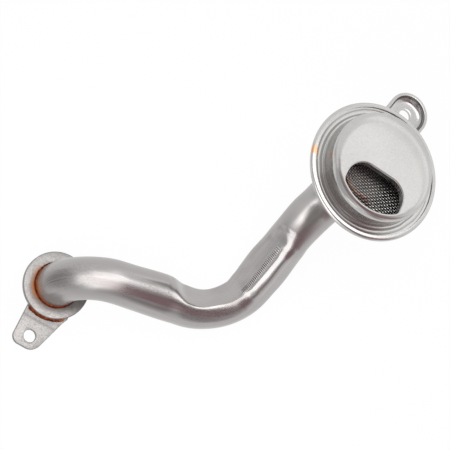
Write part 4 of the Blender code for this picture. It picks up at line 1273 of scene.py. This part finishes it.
def makeBracket():
    half = bracket["sheet"] / 2
    route = bracketRoute()
    across = [(1, 0, 0), (0.5, 0, 0)]
    for degrees in range(0, 91, 15):
        a = math.radians(degrees)
        across.append((0, bracket["corner"] * (1 - math.cos(a)), bracket["corner"] * (1 - math.sin(a))))
    rings = []
    startX = route[0].x
    for side in (1, -1):
        stations = list(enumerate(route))
        if side < 0:
            stations.reverse()
        for k, place in stations:
            before, after = route[max(k - 1, 0)], route[min(k + 1, len(route) - 1)]
            up = Vector((0, -1, 0)).cross((after - before).normalized())
            share = (place.x - startX) / (bracket["footReach"] - startX)
            width = bracket["endHalfWidth"] + (bracket["footRadius"] - bracket["endHalfWidth"]) * share
            wall = bracket["cradleWall"] + (bracket["wall"] - bracket["cradleWall"]) * share
            ring = []
            for wallShare, inset, rise in across:
                if wallShare:
                    rise = bracket["corner"] + (wall - bracket["corner"]) * wallShare
                out = Vector((0, side * (width - half - inset), 0))
                ring.append(place + out + up * rise)
            inner = width - half - bracket["corner"]
            for part in (0.66, 0.33, 0.0):
                ring.append(place + Vector((0, side * inner * part, 0)))
            rings.append(ring)
        if side > 0:
            rings += footRings(route[-1], across)
    points = np.array([list(p) for ring in rings for p in ring])
    faces = gridFaces(len(rings), len(rings[0]), False, False)
    mesh = bpy.data.meshes.new("strapSheet")
    mesh.from_pydata((points / 1000).tolist(), [], faces)
    build = bmesh.new()
    build.from_mesh(mesh)
    bmesh.ops.remove_doubles(build, verts=build.verts, dist=0.000002)
    bmesh.ops.recalc_face_normals(build, faces=build.faces)
    build.to_mesh(mesh)
    build.free()
    made = bpy.data.objects.new("bracketStrap", mesh)
    bpy.context.scene.collection.objects.link(made)
    solid = made.modifiers.new("sheet", "SOLIDIFY")
    solid.thickness = toMetres(bracket["sheet"])
    solid.offset = 0
    solid.use_even_offset = True
    build = bmesh.new()
    bmesh.ops.create_cone(build, cap_ends=True, segments=72, radius1=toMetres(bracket["hole"] / 2),
                          radius2=toMetres(bracket["hole"] / 2), depth=0.012)
    place = [toMetres(v) for v in (bracket["footReach"], 0, -bracket["seatDepth"] - half)]
    bmesh.ops.translate(build, vec=place, verts=build.verts)
    cutMesh = bpy.data.meshes.new("boltHole")
    build.to_mesh(cutMesh)
    build.free()
    cutter = bpy.data.objects.new("boltHole", cutMesh)
    bpy.context.scene.collection.objects.link(cutter)
    boolean = made.modifiers.new("hole", "BOOLEAN")
    boolean.operation = "DIFFERENCE"
    boolean.object = cutter
    bevel = made.modifiers.new("edges", "BEVEL")
    bevel.width = toMetres(0.18)
    bevel.segments = 2
    bevel.limit_method = "ANGLE"
    bevel.angle_limit = math.radians(50)
    applyModifiers(made)
    bpy.data.objects.remove(cutter)
    seat = leaningTurn(lie["strainerHeading"]).to_4x4()
    seat.translation = Vector([toMetres(v) for v in lie["strainerRim"]])
    made.data.transform(seat)
    finishPiece(made, bracketSteel, "support_bracket", 40)


def footRings(middle, across):
    rings = []
    pieces = 64
    for k in range(1, pieces):
        angle = math.pi / 2 - math.pi * k / pieces
        out = Vector((math.cos(angle), math.sin(angle), 0))
        ring = []
        for wallShare, inset, rise in across:
            if wallShare:
                rise = bracket["corner"] + (bracket["wall"] - bracket["corner"]) * wallShare
            reach = bracket["footRadius"] - bracket["sheet"] / 2 - inset
            ring.append(middle + out * reach + Vector((0, 0, rise)))
        inner = bracket["footRadius"] - bracket["sheet"] / 2 - bracket["corner"]
        for part in (0.66, 0.33, 0.0):
            ring.append(middle + out * inner * part)
        rings.append(ring)
    return rings


makeBracket()
for name in ("bracket_braze_left", "bracket_braze_right"):
    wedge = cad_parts[name]
    wedge.data.materials.clear()
    wedge.data.materials.append(braze)
print("made the bracket")


# Floor, light and camera
studio = {
    "floor": 3.0,
    "floorTone": "#f6f6f6",
    "floorOwnLight": 0.96,
    "horizon": 1.27,
    "zenith": 1.2,
    "horizonEnds": (0.25, 0.38),     # by the height of the direction, from level to straight up
    "towardBack": 0.40,              # how much brighter toward the back, and toward the right
    "towardRight": 0.11,
    "least": 0.02,
}

# Dark screens of the tent by the level part of the direction they stand in, with their radius and
# soft edge on the same scale, and the share of light that they leave
darkScreens = {
    "camera": {"toward": (0.18, 0.05), "radius": 0.44, "soft": 0.11, "leaves": "#b0a0a2"},
    "front": {"toward": (0.52, -0.45), "radius": 0.33, "soft": 0.07, "leaves": "#a3868a"},
    "frontRight": {"toward": (0.65, -0.05), "radius": 0.22, "soft": 0.11, "leaves": "#bcb4b5"},
    "nearFront": {"toward": (0.28, -0.86), "radius": 0.15, "soft": 0.13, "leaves": "#a09496"},
    "left": {"toward": (-0.43, -0.18), "radius": 0.55, "soft": 0.05, "leaves": "#cdcdcd"},
    "backLeft": {"toward": (-0.74, 0.50), "radius": 0.21, "soft": 0.18, "leaves": "#d0d0d0"},
}

# Soft boxes in millimetres: where each stands, the spot that it faces, its level, and where it is
# flagged, the only pieces that it lights or the ones that it spares
softBoxes = {
    "left": {"place": (-68, -73, 191), "facing": (-118, -112, 0), "turn": 75.0,
             "wide": 190, "deep": 206, "level": 1.85, "spares": ("strainerFront",)},
    "back": {"place": (45, 83, 120), "facing": (126, 66, 0), "turn": -24.0,
             "wide": 62, "deep": 108, "level": 2.1, "lights": ("tubeSkin",)},
    "right": {"place": (397, 323, 790), "facing": (56, -38, 0), "turn": 170.0,
              "wide": 994, "deep": 424, "level": 1.95, "spares": ("strainerFront",)},
    "rightLow": {"place": (870, 450, 180), "facing": (0, 0, 40), "turn": 117.0,
                 "wide": 1100, "deep": 330, "level": 0.3},
    "front": {"place": (-50, -160, 162), "facing": (48, -4, 0), "turn": -16.0,
              "wide": 92, "deep": 56, "level": 0.8},
    "plateau": {"place": (488, 250, 506), "facing": (73, 23, 50), "turn": 117.0,
                "wide": 330, "deep": 470, "level": 0.38, "lights": ("strainerFront",)},
}


def makeFloor():
    build = bmesh.new()
    bmesh.ops.create_grid(build, x_segments=1, y_segments=1, size=studio["floor"] / 2)
    mesh = bpy.data.meshes.new("floor")
    build.to_mesh(mesh)
    build.free()
    floor = bpy.data.objects.new("floor", mesh)
    bpy.context.scene.collection.objects.link(floor)
    floor.location.z = -0.0002
    made, tree, shader = newMaterial("whiteSweep")
    shader.inputs["Base Color"].default_value = hexColour(studio["floorTone"])
    shader.inputs["Roughness"].default_value = 0.9
    shader.inputs["Specular IOR Level"].default_value = 0.1
    seen = addNode(tree, "ShaderNodeLightPath", output="Is Camera Ray")
    for ray in ("Is Glossy Ray", "Is Transmission Ray"):
        other = addNode(tree, "ShaderNodeLightPath", output=ray)
        seen = addNode(tree, "ShaderNodeMath", {"operation": "MAXIMUM"}, {0: seen, 1: other})
    share = addNode(tree, "ShaderNodeMath", {"operation": "MULTIPLY"},
                    {0: seen, 1: studio["floorOwnLight"]})
    glow = addNode(tree, "ShaderNodeEmission", None, {"Color": (1, 1, 1, 1), "Strength": 1.0})
    mixed = addNode(tree, "ShaderNodeMixShader", None, {0: share, 1: shader.outputs[0], 2: glow})
    tree.links.new(mixed, tree.nodes["Material Output"].inputs["Surface"])
    mesh.materials.append(made)


def makeSoftBox(name, box):
    place, facing = Vector(box["place"]), Vector(box["facing"])
    toward = (place - facing).normalized()
    wide, deep = toMetres(box["wide"]), toMetres(box["deep"])
    lamp = bpy.data.lights.new(name, "AREA")
    lamp.shape = "RECTANGLE"
    lamp.size, lamp.size_y = wide, deep
    lamp.energy = box["level"] * math.pi * wide * deep
    made = bpy.data.objects.new(name, lamp)
    bpy.context.scene.collection.objects.link(made)
    made.location = place / 1000
    made.rotation_mode = "QUATERNION"
    long = Vector((math.cos(math.radians(box["turn"])), math.sin(math.radians(box["turn"])), 0))
    side = toward.cross(long).normalized()
    long = side.cross(toward)
    made.rotation_quaternion = Matrix((long, side, toward)).transposed().to_quaternion()
    for key, state in (("lights", "INCLUDE"), ("spares", "EXCLUDE")):
        if key in box:
            flagged = bpy.data.collections.new(name + "Flagged")
            for piece in box[key]:
                flagged.objects.link(bpy.data.objects[piece])
            for linked in flagged.collection_objects:
                linked.light_linking.link_state = state
            made.light_linking.receiver_collection = flagged


# A pale tent, brighter toward the horizon and the back, with its dark screens
def makeWorld():
    world = bpy.data.worlds.new("studio")
    world.use_nodes = True
    bpy.context.scene.world = world
    tree = world.node_tree
    toward = addNode(tree, "ShaderNodeTexCoord", output="Generated")
    high = addNode(tree, "ShaderNodeSeparateXYZ", None, {0: toward}, "Z")
    low, top = studio["horizonEnds"]
    tone = addNode(tree, "ShaderNodeMapRange", {"interpolation_type": "SMOOTHSTEP"},
                   {0: high, 1: low, 2: top, 3: studio["horizon"], 4: studio["zenith"]})
    lean = (studio["towardRight"], studio["towardBack"], 0)
    more = addNode(tree, "ShaderNodeVectorMath", {"operation": "DOT_PRODUCT"},
                   {0: toward, 1: lean}, "Value")
    tone = addNode(tree, "ShaderNodeMath", {"operation": "ADD"}, {0: tone, 1: more})
    tone = addNode(tree, "ShaderNodeClamp", None, {0: tone, 1: studio["least"], 2: 1.0})
    shade = addNode(tree, "ShaderNodeCombineColor", None, {0: tone, 1: tone, 2: tone})
    level = addNode(tree, "ShaderNodeVectorMath", {"operation": "MULTIPLY"}, {0: toward, 1: (1, 1, 0)})
    for screenName, dark in darkScreens.items():
        away = addNode(tree, "ShaderNodeVectorMath", {"operation": "DISTANCE"},
                       {0: level, 1: (*dark["toward"], 0)}, "Value")
        share = addNode(tree, "ShaderNodeMapRange", {"interpolation_type": "SMOOTHSTEP"},
                        {0: away, 1: dark["radius"] - dark["soft"], 2: dark["radius"] + dark["soft"],
                         3: 1.0, 4: 0.0})
        shade = addNode(tree, "ShaderNodeMix", {"data_type": "RGBA", "blend_type": "MULTIPLY"},
                        {0: share, 6: shade, 7: hexColour(dark["leaves"])}, 2)
    sky = tree.nodes["Background"]
    tree.links.new(shade, sky.inputs["Color"])
    sky.inputs["Strength"].default_value = 1.0


def makeCamera():
    camera = bpy.data.cameras.new("camera")
    camera.sensor_width = cameraView["sensor"]
    camera.lens = cameraView["focalPixels"] * cameraView["sensor"] / cameraView["imagePixels"]
    camera.clip_start = 0.01
    made = bpy.data.objects.new("camera", camera)
    bpy.context.scene.collection.objects.link(made)
    made.location = [toMetres(v) for v in cameraView["place"]]
    bpy.context.scene.camera = made


makeFloor()
for name, box in softBoxes.items():
    makeSoftBox(name, box)
makeWorld()
makeCamera()
bpy.context.scene.view_settings.view_transform = "Standard"
print("made the floor, lights and camera")
